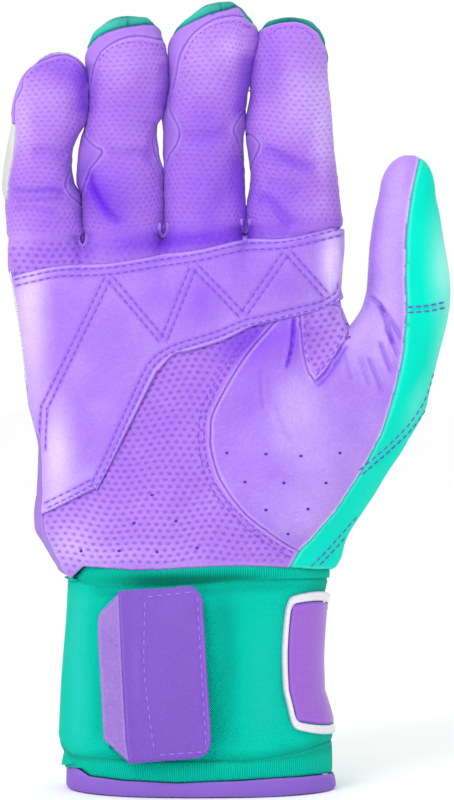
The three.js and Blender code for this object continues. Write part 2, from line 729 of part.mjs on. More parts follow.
function makeStrapPatch() {
  const skin = new Skin();
  const steps = countTo(patchSteps).map((k) => (2 * k) / patchSteps - 1);
  const innerSteps = steps.map((step) => step * patchInnerShare);
  skin.patch("strap_patch", innerSteps.map((v) => innerSteps.map((u) => patchPlace(u, v))));
  const edge = [
    ...steps.map((v) => [-1, v]),
    ...steps.slice(1).map((u) => [u, 1]),
    ...steps.slice(0, -1).reverse().map((v) => [1, v]),
    ...steps.slice(0, -1).reverse().map((u) => [u, -1]),
  ];
  const ringAt = (share) => edge.map(([u, v]) => patchPlace(u * share, v * share));
  const ringShares = [patchInnerShare, mix(patchInnerShare, 1, middleShare), 1];
  const rings = ringShares.map(ringAt);
  skin.patch("strap_patch_border", rings);
  skin.panel("strap_patch", darkTrim, patchThickness, layerGap + patchThickness);
  skin.panel("strap_patch_border", whiteRubber, patchBorderThickness, layerGap + patchBorderThickness);
}

fingers.forEach(makeFinger);
makeThumb(thumb);
makeHand();
makeOverlay();
makeCuff();
makeStrapEnd();
makeStrapPatch();

// The origin lies on the floor under the middle of the glove
const bounds = new THREE.Box3().setFromObject(group);
const middle = bounds.getCenter(new THREE.Vector3());
group.position.set(-middle.x, -middle.y, -bounds.min.z);

export default group;
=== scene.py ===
"""Looks of a long-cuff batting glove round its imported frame: sewn leather, stretch cloth and a wrist strap."""

import math
import random

import bmesh
import bpy
import numpy as np
from mathutils import Matrix, Vector
from mathutils.bvhtree import BVHTree
from mathutils.kdtree import KDTree


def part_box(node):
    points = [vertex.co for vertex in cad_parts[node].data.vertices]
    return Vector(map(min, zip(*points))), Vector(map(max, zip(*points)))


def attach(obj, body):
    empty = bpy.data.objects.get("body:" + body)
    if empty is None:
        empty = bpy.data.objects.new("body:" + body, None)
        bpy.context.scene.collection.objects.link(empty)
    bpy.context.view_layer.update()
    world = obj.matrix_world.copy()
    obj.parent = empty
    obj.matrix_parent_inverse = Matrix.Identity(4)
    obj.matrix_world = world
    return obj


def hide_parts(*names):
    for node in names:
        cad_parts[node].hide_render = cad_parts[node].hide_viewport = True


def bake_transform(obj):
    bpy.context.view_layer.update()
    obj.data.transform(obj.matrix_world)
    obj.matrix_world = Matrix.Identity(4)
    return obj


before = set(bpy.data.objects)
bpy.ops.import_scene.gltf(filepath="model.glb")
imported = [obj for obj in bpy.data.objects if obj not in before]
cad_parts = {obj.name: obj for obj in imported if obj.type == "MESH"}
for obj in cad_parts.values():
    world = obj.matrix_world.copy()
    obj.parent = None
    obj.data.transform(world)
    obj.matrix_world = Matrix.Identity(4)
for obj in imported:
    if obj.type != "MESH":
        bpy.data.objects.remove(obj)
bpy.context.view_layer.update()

bl_info = {
    "name": "Batting glove looks",
    "version": (1, 0, 0),
    "blender": (4, 5, 0),
    "location": "View3D > Sidebar > Glove",
    "description": "Builds the sewn panels, stitches, strap and stage of a batting glove",
    "category": "Object",
}

MM = 0.001

# The photograph's pixels on the plane through the middle of the glove. The frame lies a little beside that middle
GLOVE_HEIGHT = 0.245
TRACED_HEIGHT = 786
PIXEL = GLOVE_HEIGHT / TRACED_HEIGHT
CENTRE_COLUMN = 227.5
FOOT_ROW = 788
FRAME_SHIFT = -0.0004683
VIEW_COLUMN = 227
VIEW_ROW = 400
FRAME_ROWS = 800
CAMERA_BACK = 0.95
VIEW_X = (VIEW_COLUMN - CENTRE_COLUMN) * PIXEL + FRAME_SHIFT
VIEW_Z = (FOOT_ROW - VIEW_ROW) * PIXEL

LEATHER_WALL = 1.3 * MM
KNIT_WALL = 1.4 * MM
OVERLAY_WALL = 0.9 * MM
CUFF_WALL = 1.5 * MM
WELD_REACH = 0.8 * MM
COARSE_EDGE = 5.4 * MM
OVERLAY_LIFT = 1.0 * MM

# The least angle in degrees that is shaded as an edge, the least cosine between neighbours of one smooth face, and the
# share of another face's area from which the two count as alike
SHARP_ANGLE = 55
SMOOTH_COSINE = 0.53
SAME_SIZE = 0.97

# Each finger's root row, and the columns of its left and right sides there
FINGER_ROOTS = {
    "pinky": (239, 7, 81),
    "ring": (236, 84, 161),
    "middle": (230, 164, 243),
    "index": (229, 247, 343),
}
THUMB_ROOT_ROW = 325
HEM_TOP_ROW = 778


def height_of(row):
    return (FOOT_ROW - row) * PIXEL


def to_photo(places):
    """Column and row of each point in the photograph"""
    near = 1 + places[:, 1] / CAMERA_BACK
    column = VIEW_COLUMN + (places[:, 0] - VIEW_X) / (PIXEL * near)
    row = VIEW_ROW - (places[:, 2] - VIEW_Z) / (PIXEL * near)
    return column, row


def sight(column, row):
    """The camera's place and its line of sight through a pixel"""
    eye = Vector((VIEW_X, -CAMERA_BACK, VIEW_Z))
    aim = Vector((VIEW_X + (column - VIEW_COLUMN) * PIXEL, 0, VIEW_Z - (row - VIEW_ROW) * PIXEL))
    return eye, (aim - eye).normalized()


def smoothed(value, low, high):
    share = np.clip((value - low) / (high - low), 0, 1)
    return share * share * (3 - 2 * share)


def bell(distance, width):
    """A share that is 1 at no distance and fades away over about twice the width"""
    return np.exp(-((distance / width) ** 2))


def read(table, at):
    """What a table of pairs gives at each place, between its entries too"""
    return np.interp(at, *np.array(table).T)


def column_on(line, row):
    return np.interp(row, line[:, 1], line[:, 0])


def curve_through(places, step=2.0):
    """A smooth line through traced pixels, as evenly spaced points"""
    points = np.array(places, float)
    ends = np.vstack([2 * points[0] - points[1], points, 2 * points[-1] - points[-2]])
    fine = []
    for i in range(len(points) - 1):
        a, b, c, d = ends[i : i + 4]
        count = max(2, int(np.hypot(*(c - b)) / step) + 1)
        for t in np.linspace(0, 1, count, endpoint=False):
            fine.append(
                0.5 * (2 * b + (c - a) * t + (2 * a - 5 * b + 4 * c - d) * t**2 + (3 * b - a - 3 * c + d) * t**3)
            )
    fine.append(points[-1])
    return np.array(fine)


def line_distance(column, row, places, reach=40):
    """Distance in pixels of each point from a line, how far along it that is from 0 to 1, and the nearest pixel"""
    gap = np.full(column.shape, 1e6)
    along = np.zeros(column.shape)
    nearest = np.zeros((2, *column.shape))
    low, high = places.min(axis=0) - reach, places.max(axis=0) + reach
    near = np.flatnonzero((column > low[0]) & (column < high[0]) & (row > low[1]) & (row < high[1]))
    spans = np.hypot(*np.diff(places, axis=0).T)
    total = spans.sum()
    done = 0.0
    for (ax, ay), (bx, by), span in zip(places, places[1:], spans):
        if span < 1e-9:
            continue
        t = np.clip(((column[near] - ax) * (bx - ax) + (row[near] - ay) * (by - ay)) / span**2, 0, 1)
        x, y = ax + t * (bx - ax), ay + t * (by - ay)
        here = np.hypot(column[near] - x, row[near] - y)
        closer = here < gap[near]
        found = near[closer]
        gap[found] = here[closer]
        along[found] = (done + t[closer] * span) / total
        nearest[:, found] = x[closer], y[closer]
        done += span
    return gap, along, nearest


def as_seen(places):
    """Shifts what is nearer to the camera, so that traced pixels are seen where they were traced"""
    near = 1 + np.minimum(places[:, 1], 0) / CAMERA_BACK
    seen = places.copy()
    seen[:, 0] = VIEW_X + (places[:, 0] - VIEW_X) * near
    seen[:, 2] = VIEW_Z + (places[:, 2] - VIEW_Z) * near
    return seen


# Panels: fine copies of the outer faces of the frame's nodes


def merged_copy(node):
    work = bmesh.new()
    work.from_mesh(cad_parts[node].data)
    bmesh.ops.remove_doubles(work, verts=work.verts, dist=0.002 * MM)
    work.normal_update()
    return work


def keep_faces(work, kept):
    kept = set(kept)
    bmesh.ops.delete(work, geom=[face for face in work.faces if face not in kept], context="FACES")


def area_of(faces):
    return sum(face.calc_area() for face in faces)


def wall_faces(work, wall):
    """Faces of a panel's rim: they hold an edge that runs straight through the wall"""
    found = set()
    for edge in work.edges:
        if abs(edge.calc_length() - wall) < 0.02 * MM:
            line = (edge.verts[0].co - edge.verts[1].co).normalized()
            if min(max(abs(line.dot(face.normal)) for face in vert.link_faces) for vert in edge.verts) > 0.8:
                found.update(edge.link_faces)
    return found


def smooth_groups(faces):
    """Groups of faces that meet without a sharp edge, the largest first"""
    left = set(faces)
    groups = []
    while left:
        group = [left.pop()]
        for face in group:
            for edge in face.edges:
                for other in edge.link_faces:
                    if other in left and face.normal.dot(other.normal) > SMOOTH_COSINE:
                        left.remove(other)
                        group.append(other)
        groups.append(group)
    return sorted(groups, key=area_of, reverse=True)


def looks_out(faces, side):
    return sum(face.calc_area() * face.normal.y * side for face in faces)


def keep_outer(work, wall):
    """Leaves only the outer face of a panel of even thickness: the larger one, or of two alike the one facing out"""
    outer, *others = smooth_groups(set(work.faces) - wall_faces(work, wall))
    side = math.copysign(1, sum(vert.co.y for vert in work.verts))
    if area_of(others[0]) > SAME_SIZE * area_of(outer) and looks_out(others[0], side) > looks_out(outer, side):
        outer, others[0] = others[0], outer
    kept = set(outer)
    inner = set(others[0])
    for group in others[1:]:
        beside = {other for face in group for edge in face.edges for other in edge.link_faces}
        if beside & kept and not beside & inner:
            kept.update(group)
    keep_faces(work, kept)


def keep_ring(work, node, outward):
    """Leaves only the faces of a cuff ring that look outwards, by the least cosine of their turn"""
    low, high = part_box(node)
    middle = (low + high) / 2
    kept = []
    for face in work.faces:
        away = face.calc_center_median() - middle
        away.z = 0
        if face.normal.dot(away.normalized()) > outward:
            kept.append(face)
    keep_faces(work, kept)


def mesh_object(name, work):
    mesh = bpy.data.meshes.new(name)
    work.to_mesh(mesh)
    work.free()
    made = bpy.data.objects.new(name, mesh)
    bpy.context.scene.collection.objects.link(made)
    return made


def settle_modifiers(piece):
    """Replaces the piece's mesh by what its modifiers make of it"""
    bpy.context.view_layer.update()
    shown = piece.evaluated_get(bpy.context.evaluated_depsgraph_get())
    mesh = bpy.data.meshes.new_from_object(shown)
    piece.modifiers.clear()
    old = piece.data
    piece.data = mesh
    mesh.name = piece.name
    bpy.data.meshes.remove(old)


def subdivide(piece, levels):
    modifier = piece.modifiers.new("Smooth", "SUBSURF")
    modifier.levels = levels
    modifier.render_levels = levels
    modifier.boundary_smooth = "PRESERVE_CORNERS"
    settle_modifiers(piece)


def thicken(piece, wall):
    modifier = piece.modifiers.new("Wall", "SOLIDIFY")
    modifier.thickness = wall
    modifier.offset = -1
    settle_modifiers(piece)


def to_quads(work):
    bmesh.ops.join_triangles(
        work,
        faces=work.faces[:],
        cmp_materials=True,
        angle_face_threshold=math.pi,
        angle_shape_threshold=math.pi,
    )


def vectors(items, name):
    flat = np.zeros(len(items) * 3)
    items.foreach_get(name, flat)
    return flat.reshape(-1, 3)


def whole_numbers(items, name, width=1):
    flat = np.zeros(len(items) * width, np.int32)
    items.foreach_get(name, flat)
    return flat.reshape(-1, width) if width > 1 else flat


def put_points(mesh, place):
    mesh.vertices.foreach_set("co", place.astype(np.float32).ravel())
    mesh.update()


def open_edges(mesh):
    """The end points of each edge on the border of an open surface"""
    ends = whole_numbers(mesh.edges, "vertices", 2)
    uses = np.bincount(whole_numbers(mesh.loops, "edge_index"), minlength=len(ends))
    return ends[uses == 1]


def store(piece, name, values):
    """Keeps one number for each point, which the materials read"""
    attribute = piece.data.attributes.get(name) or piece.data.attributes.new(name, "FLOAT", "POINT")
    attribute.data.foreach_set("value", np.asarray(values, np.float32))


def distance_to(places, targets):
    tree = KDTree(len(targets))
    for i, target in enumerate(targets):
        tree.insert(target, i)
    tree.balance()
    return np.array([tree.find(place)[2] for place in places])


class Relief:
    """The points of a fine surface: their places in the photograph, the seams near them, how far each is raised"""

    def __init__(self, place, normal, seam):
        self.place = place
        self.normal = normal
        self.seam = seam
        self.column, self.row = to_photo(place)
        self.facing = smoothed(-normal[:, 1], 0.0, 0.35)
        self.raised = np.zeros(len(place))
        # Painted shade that deepens the colour, and where negative painted highlights that pale it
        self.tone = np.zeros(len(place))
        self.dimpled = np.zeros(len(place))
        self.dimple = np.zeros((2, len(place)))
        self.around = place[:, 0].copy()

    def wrap(self, marked, radius):
        """Measures how far round a stall its points lie, from the middle of its back, so that its knit runs evenly"""
        rows = np.arange(self.row[marked].min() + 6, self.row[marked].max(), 8)
        middles = []
        for at in rows:
            near = self.place[marked & (np.abs(self.row - at) < 6), :2]
            middles.append((near.min(axis=0) + near.max(axis=0)) / 2)
        x, y = (np.interp(self.row[marked], rows, part) for part in np.array(middles).T)
        self.around[marked] = np.arctan2(self.place[marked, 0] - x, self.place[marked, 1] - y) * radius

    def roll_seams(self, radius=0.9 * MM, depth=0.5 * MM):
        """Turns the edges in, as sewn leather does"""
        share = np.clip(1 - self.seam / radius, 0, 1)
        self.raised -= depth * (1 - np.sqrt(np.clip(1 - share**2, 0, 1)))

    def waves(self, pitch, seed):
        """Gentle unevenness from a few crossed waves, about as wide as the pitch in pixels"""
        draw = random.Random(seed)
        total = np.zeros(len(self.place))
        for _ in range(5):
            turn = draw.uniform(0, math.pi)
            size = pitch * draw.uniform(0.7, 1.5)
            shift = draw.uniform(0, 2 * math.pi)
            line = self.column * math.cos(turn) + self.row * math.sin(turn)
            total += np.sin(2 * math.pi * line / size + shift)
        return total / 3

    def pucker(self, amount=0.1 * MM, pitch=9.0, reach=3 * MM, seed=1):
        """Small gathers along the seams"""
        self.raised += amount * np.exp(-self.seam / reach) * self.waves(pitch, seed)

    def uneven(self, amount=0.15 * MM, pitch=40.0, seed=2):
        self.raised += amount * self.waves(pitch, seed)

    def crease(self, places, width=4.0, depth=0.5 * MM, tone=0.5, ends=0.15):
        """A fold with soft lips on both sides, over traced pixels, fading at its ends. It paints shade in the fold, and
        a highlight where its tone is negative
        """
        gap, along, _ = line_distance(self.column, self.row, curve_through(places))
        fade = self.facing
        if ends:
            fade = fade * smoothed(along, 0, ends) * smoothed(1 - along, 0, ends)
        self.raised += fade * depth * (0.35 * bell(gap - 2 * width, width) - bell(gap, width))
        # Painted shade in the fold, a painted highlight for a negative tone
        self.tone += fade * tone * bell(gap, 1.5 * width)

    def groove(self, lines, width, depth, tone=0.0):
        """A shallow groove along each line, where stitches pull the surface in, with painted shade in it by its tone"""
        for line in lines:
            gap, _, _ = line_distance(self.column, self.row, curve_through(line))
            self.raised -= depth * bell(gap, width)
            # Painted shade along the groove
            self.tone += tone * bell(gap, 1.6)

    def crease_all(self, table):
        for places, width, depth, tone, *ends in table:
            self.crease(places, width, depth * MM, tone, *ends)

    def swell(self, middle, radii, amount, tone=0.0, turn=0.0):
        """A soft rise or, where the amount is negative, a hollow. Its tone is painted shade that deepens the colour,
        and where negative a painted highlight that pales it
        """
        across = self.column - middle[0]
        down = self.row - middle[1]
        cosine, sine = math.cos(math.radians(turn)), math.sin(math.radians(turn))
        first = (across * cosine + down * sine) / radii[0]
        second = (down * cosine - across * sine) / radii[1]
        share = np.exp(-(first**2 + second**2)) * self.facing
        self.raised += amount * share
        # Painted shade, and a painted highlight where the tone is negative
        self.tone += tone * share

    def swell_all(self, table):
        for middle, radii, height, tone, turn in table:
            self.swell(middle, radii, height * MM, tone, turn)

    def dimples(self, mask, depth, pitch, share=1.0, middle=0.0, half=None):
        """Staggered oval pits. On a finger they are spaced round it. The materials draw them from the same numbers"""
        column = self.column
        if half:
            column = middle + half * np.arcsin(np.clip((column - middle) / half, -0.98, 0.98)) * 0.85
        warp_x = 1.6 * np.sin(self.row / 23) + 1.2 * np.sin(self.row / 9.1 + column / 31)
        warp_y = 2.2 * np.sin(column / 27) + 1.4 * np.sin(column / 11.3 + self.row / 37)
        u = (column + warp_x) / pitch[0]
        v = (self.row + warp_y) / pitch[1]
        line = np.floor(v)
        shifted = u + 0.5 * np.mod(line, 2)
        across = shifted - np.floor(shifted) - 0.5
        pit = np.exp(-((across / 0.27) ** 2 + ((v - line - 0.5) / 0.26) ** 2))
        mask = mask * smoothed(self.seam, 1.0 * MM, 2.2 * MM)
        self.raised -= depth * pit * mask
        self.dimpled = np.where(mask > 0, share * mask, self.dimpled)
        self.dimple = np.where(mask > 0, np.stack([u, v]), self.dimple)

    def moved(self):
        return self.place + self.normal * self.raised[:, None]

    def readings(self):
        return {
            "dimpled": self.dimpled,
            "dimple_u": self.dimple[0],
            "dimple_v": self.dimple[1],
            # The painted shade and highlights, and a painted highlight along the rolled edges
            "tone": np.clip(self.tone, -1, 1),
            "rim": bell(self.seam - 0.65 * MM, 0.35 * MM),
            "line": bell(self.seam, 0.3 * MM),
            "around": self.around,
            "up": self.place[:, 2],
        }


def border_relief(piece):
    """Relief of an open surface, whose seams are its borders"""
    mesh = piece.data
    place = vectors(mesh.vertices, "co")
    border = open_edges(mesh)
    targets = np.vstack([place[border].mean(axis=1), place[np.unique(border)]])
    return Relief(place, vectors(mesh.vertices, "normal"), distance_to(place, targets))


def settle_relief(piece, relief):
    put_points(piece.data, relief.moved())
    for name, values in relief.readings().items():
        store(piece, name, values)


def dress(piece, finish, nodes, body, crosses=None):
    """Gives a finished piece its material, hides its nodes and hangs it from its body. Where crosses is given, the
    height where the piece's stall meets the hand, its transform is baked in instead
    """
    piece.data.materials.clear()
    piece.data.materials.append(FINISHES[finish])
    piece.data.shade_smooth()
    piece.data.set_sharp_from_angle(angle=math.radians(SHARP_ANGLE))
    if nodes:
        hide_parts(*nodes)
    if crosses is None:
        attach(piece, body)
    else:
        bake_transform(piece)
    return piece


# The sewn shell of the hand, the fingers and the thumb

# Each node's piece, finish and wall
SKIN = {
    "palm_panel": ("palm_leather", "dimpled", LEATHER_WALL),
    "web_wedge_panel": ("web_wedge", "dimpled", LEATHER_WALL),
    "thenar_panel": ("thenar_leather", "smooth", LEATHER_WALL),
    "index_side_gusset": ("index_side_leather", "dimpled", LEATHER_WALL),
    "ulnar_side_panel": ("ulnar_side_knit", "side", KNIT_WALL),
    "thumb_outer_panel": ("thumb_side_stretch", "mint", KNIT_WALL),
    "knuckle_flex_panel": ("knuckle_trim", "trim", KNIT_WALL),
    "back_hand_panel": ("back_knit", "white", KNIT_WALL),
    "thumb_front": ("thumb_leather", "smooth", LEATHER_WALL),
    "thumb_back": ("thumb_stretch_back", "mint", KNIT_WALL),
}
for finger in FINGER_ROOTS:
    SKIN[finger + "_front"] = (finger + "_leather", "dimpled", LEATHER_WALL)
    SKIN[finger + "_gusset"] = (finger + "_fourchette", "trim", LEATHER_WALL)
    SKIN[finger + "_back"] = (finger + "_stretch_back", "tip", KNIT_WALL)
SKIN["pinky_back"] = ("pinky_knit_back", "white", KNIT_WALL)
PANELS = list(SKIN)


def numbers_of(nodes):
    return [PANELS.index(node) for node in nodes]


def body_of(node):
    start = node.split("_")[0]
    if start in FINGER_ROOTS or node in ("thumb_front", "thumb_back"):
        return start
    return "hand"


BODIES = [body_of(node) for node in PANELS]


def panels_of(bodies):
    return [number for number, body in enumerate(BODIES) if body in bodies]


def root_height(body):
    """The height where a stall meets the hand, or None for a body that bends nothing"""
    rows = {finger: root[0] for finger, root in FINGER_ROOTS.items()} | {"thumb": THUMB_ROOT_ROW}
    return height_of(rows[body]) if body in rows else None


def weld_seams(whole):
    """Joins neighbouring panels point by point across their seam gap"""
    border = [vert for vert in whole.verts if vert.is_boundary]
    panel = [vert.link_faces[0].material_index for vert in border]
    tree = KDTree(len(border))
    for i, vert in enumerate(border):
        tree.insert(vert.co, i)
    tree.balance()
    leader = list(range(len(border)))

    def lead(i):
        while leader[i] != i:
            i = leader[i]
        return i

    for i, vert in enumerate(border):
        for _, j, _ in tree.find_range(vert.co, WELD_REACH):
            joint = {BODIES[panel[i]], BODIES[panel[j]]}
            if panel[i] != panel[j] and (len(joint) == 1 or "hand" in joint):
                leader[lead(i)] = lead(j)
    groups = {}
    for i, vert in enumerate(border):
        groups.setdefault(lead(i), []).append(vert)
    targets = {}
    for first, *others in groups.values():
        if others:
            first.co = sum((vert.co for vert in others), first.co.copy()) / (1 + len(others))
            targets.update((vert, first) for vert in others)
    bmesh.ops.weld_verts(whole, targetmap=targets)


def sewn_shell():
    """Outer faces of every skin panel joined at their seams. A face's material number tells its panel"""
    whole = bmesh.new()
    for number, node in enumerate(PANELS):
        work = merged_copy(node)
        keep_outer(work, SKIN[node][2])
        for face in work.faces:
            face.material_index = number
        mesh = bpy.data.meshes.new(node)
        for _ in PANELS:
            mesh.materials.append(None)
        work.to_mesh(mesh)
        work.free()
        whole.from_mesh(mesh)
        bpy.data.meshes.remove(mesh)
    weld_seams(whole)
    to_quads(whole)
    long_edges = [edge for edge in whole.edges if edge.calc_length() > COARSE_EDGE]
    bmesh.ops.subdivide_edges(whole, edges=long_edges, cuts=1, use_grid_fill=True)
    return whole


def inside(outline, column, row):
    """True for points inside a traced outline"""
    found = np.zeros(column.shape, bool)
    for (ax, ay), (bx, by) in zip(outline, np.roll(outline, -1, axis=0)):
        if ay == by:
            continue
        crosses = (row < ay) != (row < by)
        found ^= crosses & (column < ax + (row - ay) * (bx - ax) / (by - ay))
    return found


class Skin:
    """The fine sewn shell, with its panel numbers, while it is brought to the traced outline"""

    def __init__(self):
        shell = sewn_shell()
        piece = mesh_object("skin", shell)
        for _ in PANELS:
            piece.data.materials.append(None)
        subdivide(piece, 3)
        self.mesh = piece.data
        self.place = as_seen(vectors(self.mesh.vertices, "co"))
        self.quads = whole_numbers(self.mesh.loops, "vertex_index").reshape(-1, 4)
        self.panel = whole_numbers(self.mesh.polygons, "material_index")
        self.ends = whole_numbers(self.mesh.edges, "vertices", 2)
        edges = whole_numbers(self.mesh.loops, "edge_index")
        order = np.argsort(edges, kind="stable")
        first = np.searchsorted(edges[order], np.arange(len(self.ends)))
        self.uses = np.bincount(edges, minlength=len(self.ends))
        second = np.minimum(first + 1, len(order) - 1)
        self.sides = np.stack([order[first] // 4, np.where(self.uses > 1, order[second], order[first]) // 4], axis=1)
        bpy.data.objects.remove(piece)

    def marked(self, numbers):
        """Marks the points of these panels' faces"""
        marked = np.zeros(len(self.place), bool)
        marked[self.quads[np.isin(self.panel, numbers)]] = True
        return marked

    def points_of(self, bodies):
        return self.marked(panels_of(bodies))

    def points_in(self, nodes):
        return self.marked(numbers_of(nodes))

    def shift(self, across, down):
        """Moves points by pixels in the photograph's plane"""
        scale = PIXEL * (1 + self.place[:, 1] / CAMERA_BACK)
        self.place[:, 0] += across * scale
        self.place[:, 2] -= down * scale

    def fit_top(self, body, root, top, raised=0):
        """Brings a finger's tip to its traced row. raised is how far the relief moves each point"""
        marked = self.points_of([body])
        _, row = to_photo(self.place + raised)
        now = row[marked].min()
        rise = np.clip((root - row) / (root - now), 0, 1)
        self.shift(0, np.where(marked, rise * (top - now), 0))

    def fit_side(self, bodies, table, side, start, full, power=1.0, raised=0):
        """Brings the left (-1) or right (1) side to traced columns. It starts at one row and is full at another"""
        marked = self.points_of(bodies)
        column, row = to_photo(self.place + raised)
        rows = np.array([entry[0] for entry in table], float)
        lows, highs = [], []
        for at in rows:
            near = column[marked & (np.abs(row - at) < 1.5)]
            lows.append(near.min())
            highs.append(near.max())
        low, high = np.interp(row, rows, lows), np.interp(row, rows, highs)
        share = np.clip((column - low) / (high - low), 0, 1)
        ends = highs if side > 0 else lows
        move = np.interp(row, rows, [entry[1] - end for entry, end in zip(table, ends)])
        share = share if side > 0 else 1 - share
        fade = smoothed((row - start) / (full - start), 0, 1)
        self.shift(np.where(marked, move * fade * share**power, 0), 0)

    def fit_outline(self, raised=0):
        for finger, (root, _, _) in FINGER_ROOTS.items():
            self.fit_top(finger, root, FINGER_TOPS[finger], raised)
            self.fit_side([finger], FINGER_LEFTS[finger], -1, root, root - 6, 1, raised)
            self.fit_side([finger], FINGER_RIGHTS[finger], 1, root, root - 6, 1, raised)
        self.fit_side(["hand"], HAND_LEFTS, -1, *LEFT_START, 6, raised)
        self.fit_side(["hand"], HAND_RIGHTS, 1, *RIGHT_START, 6, raised)

    def fit_foot(self):
        """Brings the lower edge of the hand to its traced rows, over the cuff"""
        column, row = to_photo(self.place)
        end = row[self.points_of(["hand"])].max()
        back = smoothed(self.place[:, 1], 4 * MM, 12 * MM)
        target = (1 - back) * read(HAND_FEET, column) + back * HAND_BACK_FOOT
        self.shift(0, smoothed(row, FOOT_START, end) * (target - end))

    def keep_plain(self):
        """Keeps the surface as it is, with its normals, before seams are drawn on it"""
        put_points(self.mesh, self.place)
        self.plain = self.place.copy()
        self.plain_normal = vectors(self.mesh.vertices, "normal")

    def smooth_borders(self, rounds=8):
        """Evens out the stepped borders between panels that the camera doesn't see"""
        pair = self.panel[self.sides]
        first, second = self.ends[pair[:, 0] != pair[:, 1]].T
        count = np.bincount(np.concatenate([first, second]), minlength=len(self.place))
        free = (count == 2) & (self.plain_normal[:, 1] > -0.1)
        for _ in range(rounds):
            total = np.zeros(self.place.shape)
            np.add.at(total, first, self.place[second])
            np.add.at(total, second, self.place[first])
            self.place[free] += 0.5 * (total[free] / 2 - self.place[free])

    def draw_on_plain(self, line):
        """Moves points of the plain surface on to a traced line, wherever an edge crosses it, and marks them"""
        column, row = to_photo(self.plain)
        below = row > read(line, column)
        first, second = self.ends[(below[self.ends[:, 0]] != below[self.ends[:, 1]]) & (self.uses > 1)].T
        gap, _, nearest = line_distance(column, row, line)
        chosen = np.where(gap[first] < gap[second], first, second)
        chosen = np.unique(chosen[(gap[chosen] < 5) & (self.plain_normal[chosen, 1] < 0.1)])
        scale = PIXEL * (1 + self.plain[chosen, 1] / CAMERA_BACK)
        self.plain[chosen, 0] += (nearest[0] - column)[chosen] * scale
        self.plain[chosen, 2] -= (nearest[1] - row)[chosen] * scale
        marked = np.zeros(len(self.plain), bool)
        marked[chosen] = True
        return marked

    def faces_seen(self, place=None):
        """Column and row of each face's middle, and whether it faces the camera's side"""
        corners = (self.place if place is None else place)[self.quads]
        facing = np.cross(corners[:, 2] - corners[:, 0], corners[:, 3] - corners[:, 1])[:, 1] < 0
        return *to_photo(corners.mean(axis=1)), facing

    def hand_over(self, faces, sources, target):
        """Gives some faces of the source panels to another panel"""
        self.panel[faces & np.isin(self.panel, numbers_of(sources))] = PANELS.index(target)

    def retrace_hand(self):
        """Draws the borders of the thenar, the stretch cloth and the white back anew along their traced lines"""
        column, row, facing = self.faces_seen()
        thenar, cloth, leather = (curve_through(line) for line in (THENAR_EDGE, CLOTH_EDGE, LEATHER_LEFT))
        top, foot = THENAR_ROWS
        past_thenar = facing & (column > column_on(thenar, row)) & (row > top) & (row < foot)
        past_cloth = facing & (column > column_on(cloth, row))
        before = facing & ~past_cloth
        self.hand_over(before & ~past_thenar & (column < TO_PALM_COLUMN), ["thenar_panel"], "palm_panel")
        self.hand_over(past_thenar & before & (column < TO_THENAR_COLUMN), ["palm_panel"], "thenar_panel")
        self.hand_over(past_cloth, ["palm_panel", "thenar_panel"], "thumb_outer_panel")
        self.hand_over(before & (row < foot), ["thumb_outer_panel"], "thenar_panel")
        self.hand_over(before, ["thumb_outer_panel"], "palm_panel")
        self.hand_over(past_cloth, ["thumb_front"], "thumb_back")
        self.hand_over(before, ["thumb_back"], "thumb_front")
        top, foot = WHITE_ROWS
        white = (row > top) & (row < foot) & (column < column_on(leather, row))
        self.hand_over(white, ["palm_panel"], "back_hand_panel")
        side = column < SIDE_COLUMN
        self.hand_over((row < SIDE_TOP_ROW) & side & facing, ["ulnar_side_panel"], "palm_panel")
        depth = (self.place[self.quads][:, :, 1].mean(axis=1) + 2.5 * MM) / MM
        self.hand_over((row < KNUCKLE_FOOT_ROW + 2 * depth) & side, ["ulnar_side_panel"], "knuckle_flex_panel")
        self.hand_over((row < foot + 6 * depth) & side, ["ulnar_side_panel"], "back_hand_panel")
        for line in (thenar, cloth, leather):
            self.snap(line, panels_of(["hand", "thumb"]))

    def retrace(self, finger):
        """Draws a finger's leather and stretch cloth anew along their traced borders"""
        parts = front, side, back = numbers_of(finger + part for part in ("_front", "_gusset", "_back"))
        column, row, facing = self.faces_seen()
        outline = curve_through(LEATHER_OUTLINES[finger])
        within = inside(outline, column, row)
        self.panel[(self.panel == front) & ~within] = side
        self.panel[(self.panel == side) & within & facing] = front
        lines = [outline]
        if finger == "pinky":
            outer = (self.panel == side) & (column < PINKY_COLUMN) & (row > PINKY_ROWS[0])
            self.panel[outer & (~facing | (row > PINKY_ROWS[1]))] = back
        if finger in CLOTH_BORDERS:
            border = curve_through(CLOTH_BORDERS[finger])
            self.panel[np.isin(self.panel, (front, side)) & (row < read(border, column))] = back
            lines.append(border)
        for line in lines:
            self.snap(line, parts)

    def snap(self, line, numbers):
        """Puts the points of borders between these panels exactly on a traced line that runs close by"""
        pair = self.panel[self.sides]
        cut = (pair[:, 0] != pair[:, 1]) & np.isin(pair, numbers).all(axis=1)
        marked = np.zeros(len(self.place), bool)
        marked[self.ends[cut]] = True
        column, row = to_photo(self.place)
        gap, _, nearest = line_distance(column, row, line)
        marked &= gap < 2.6
        self.shift(np.where(marked, nearest[0] - column, 0), np.where(marked, nearest[1] - row, 0))

    def relief(self):
        """Relief over the whole shell. Its seams lie where two panels of one body meet"""
        put_points(self.mesh, self.place)
        bodies = np.array([sorted(set(BODIES)).index(body) for body in BODIES])
        pair = self.panel[self.sides]
        seam = (pair[:, 0] != pair[:, 1]) & (bodies[pair[:, 0]] == bodies[pair[:, 1]])
        seam |= self.uses == 1
        targets = np.vstack([self.place[self.ends[seam]].mean(axis=1), self.place[np.unique(self.ends[seam])]])
        normal = vectors(self.mesh.vertices, "normal")
        return Relief(self.place, normal, distance_to(self.place, targets))

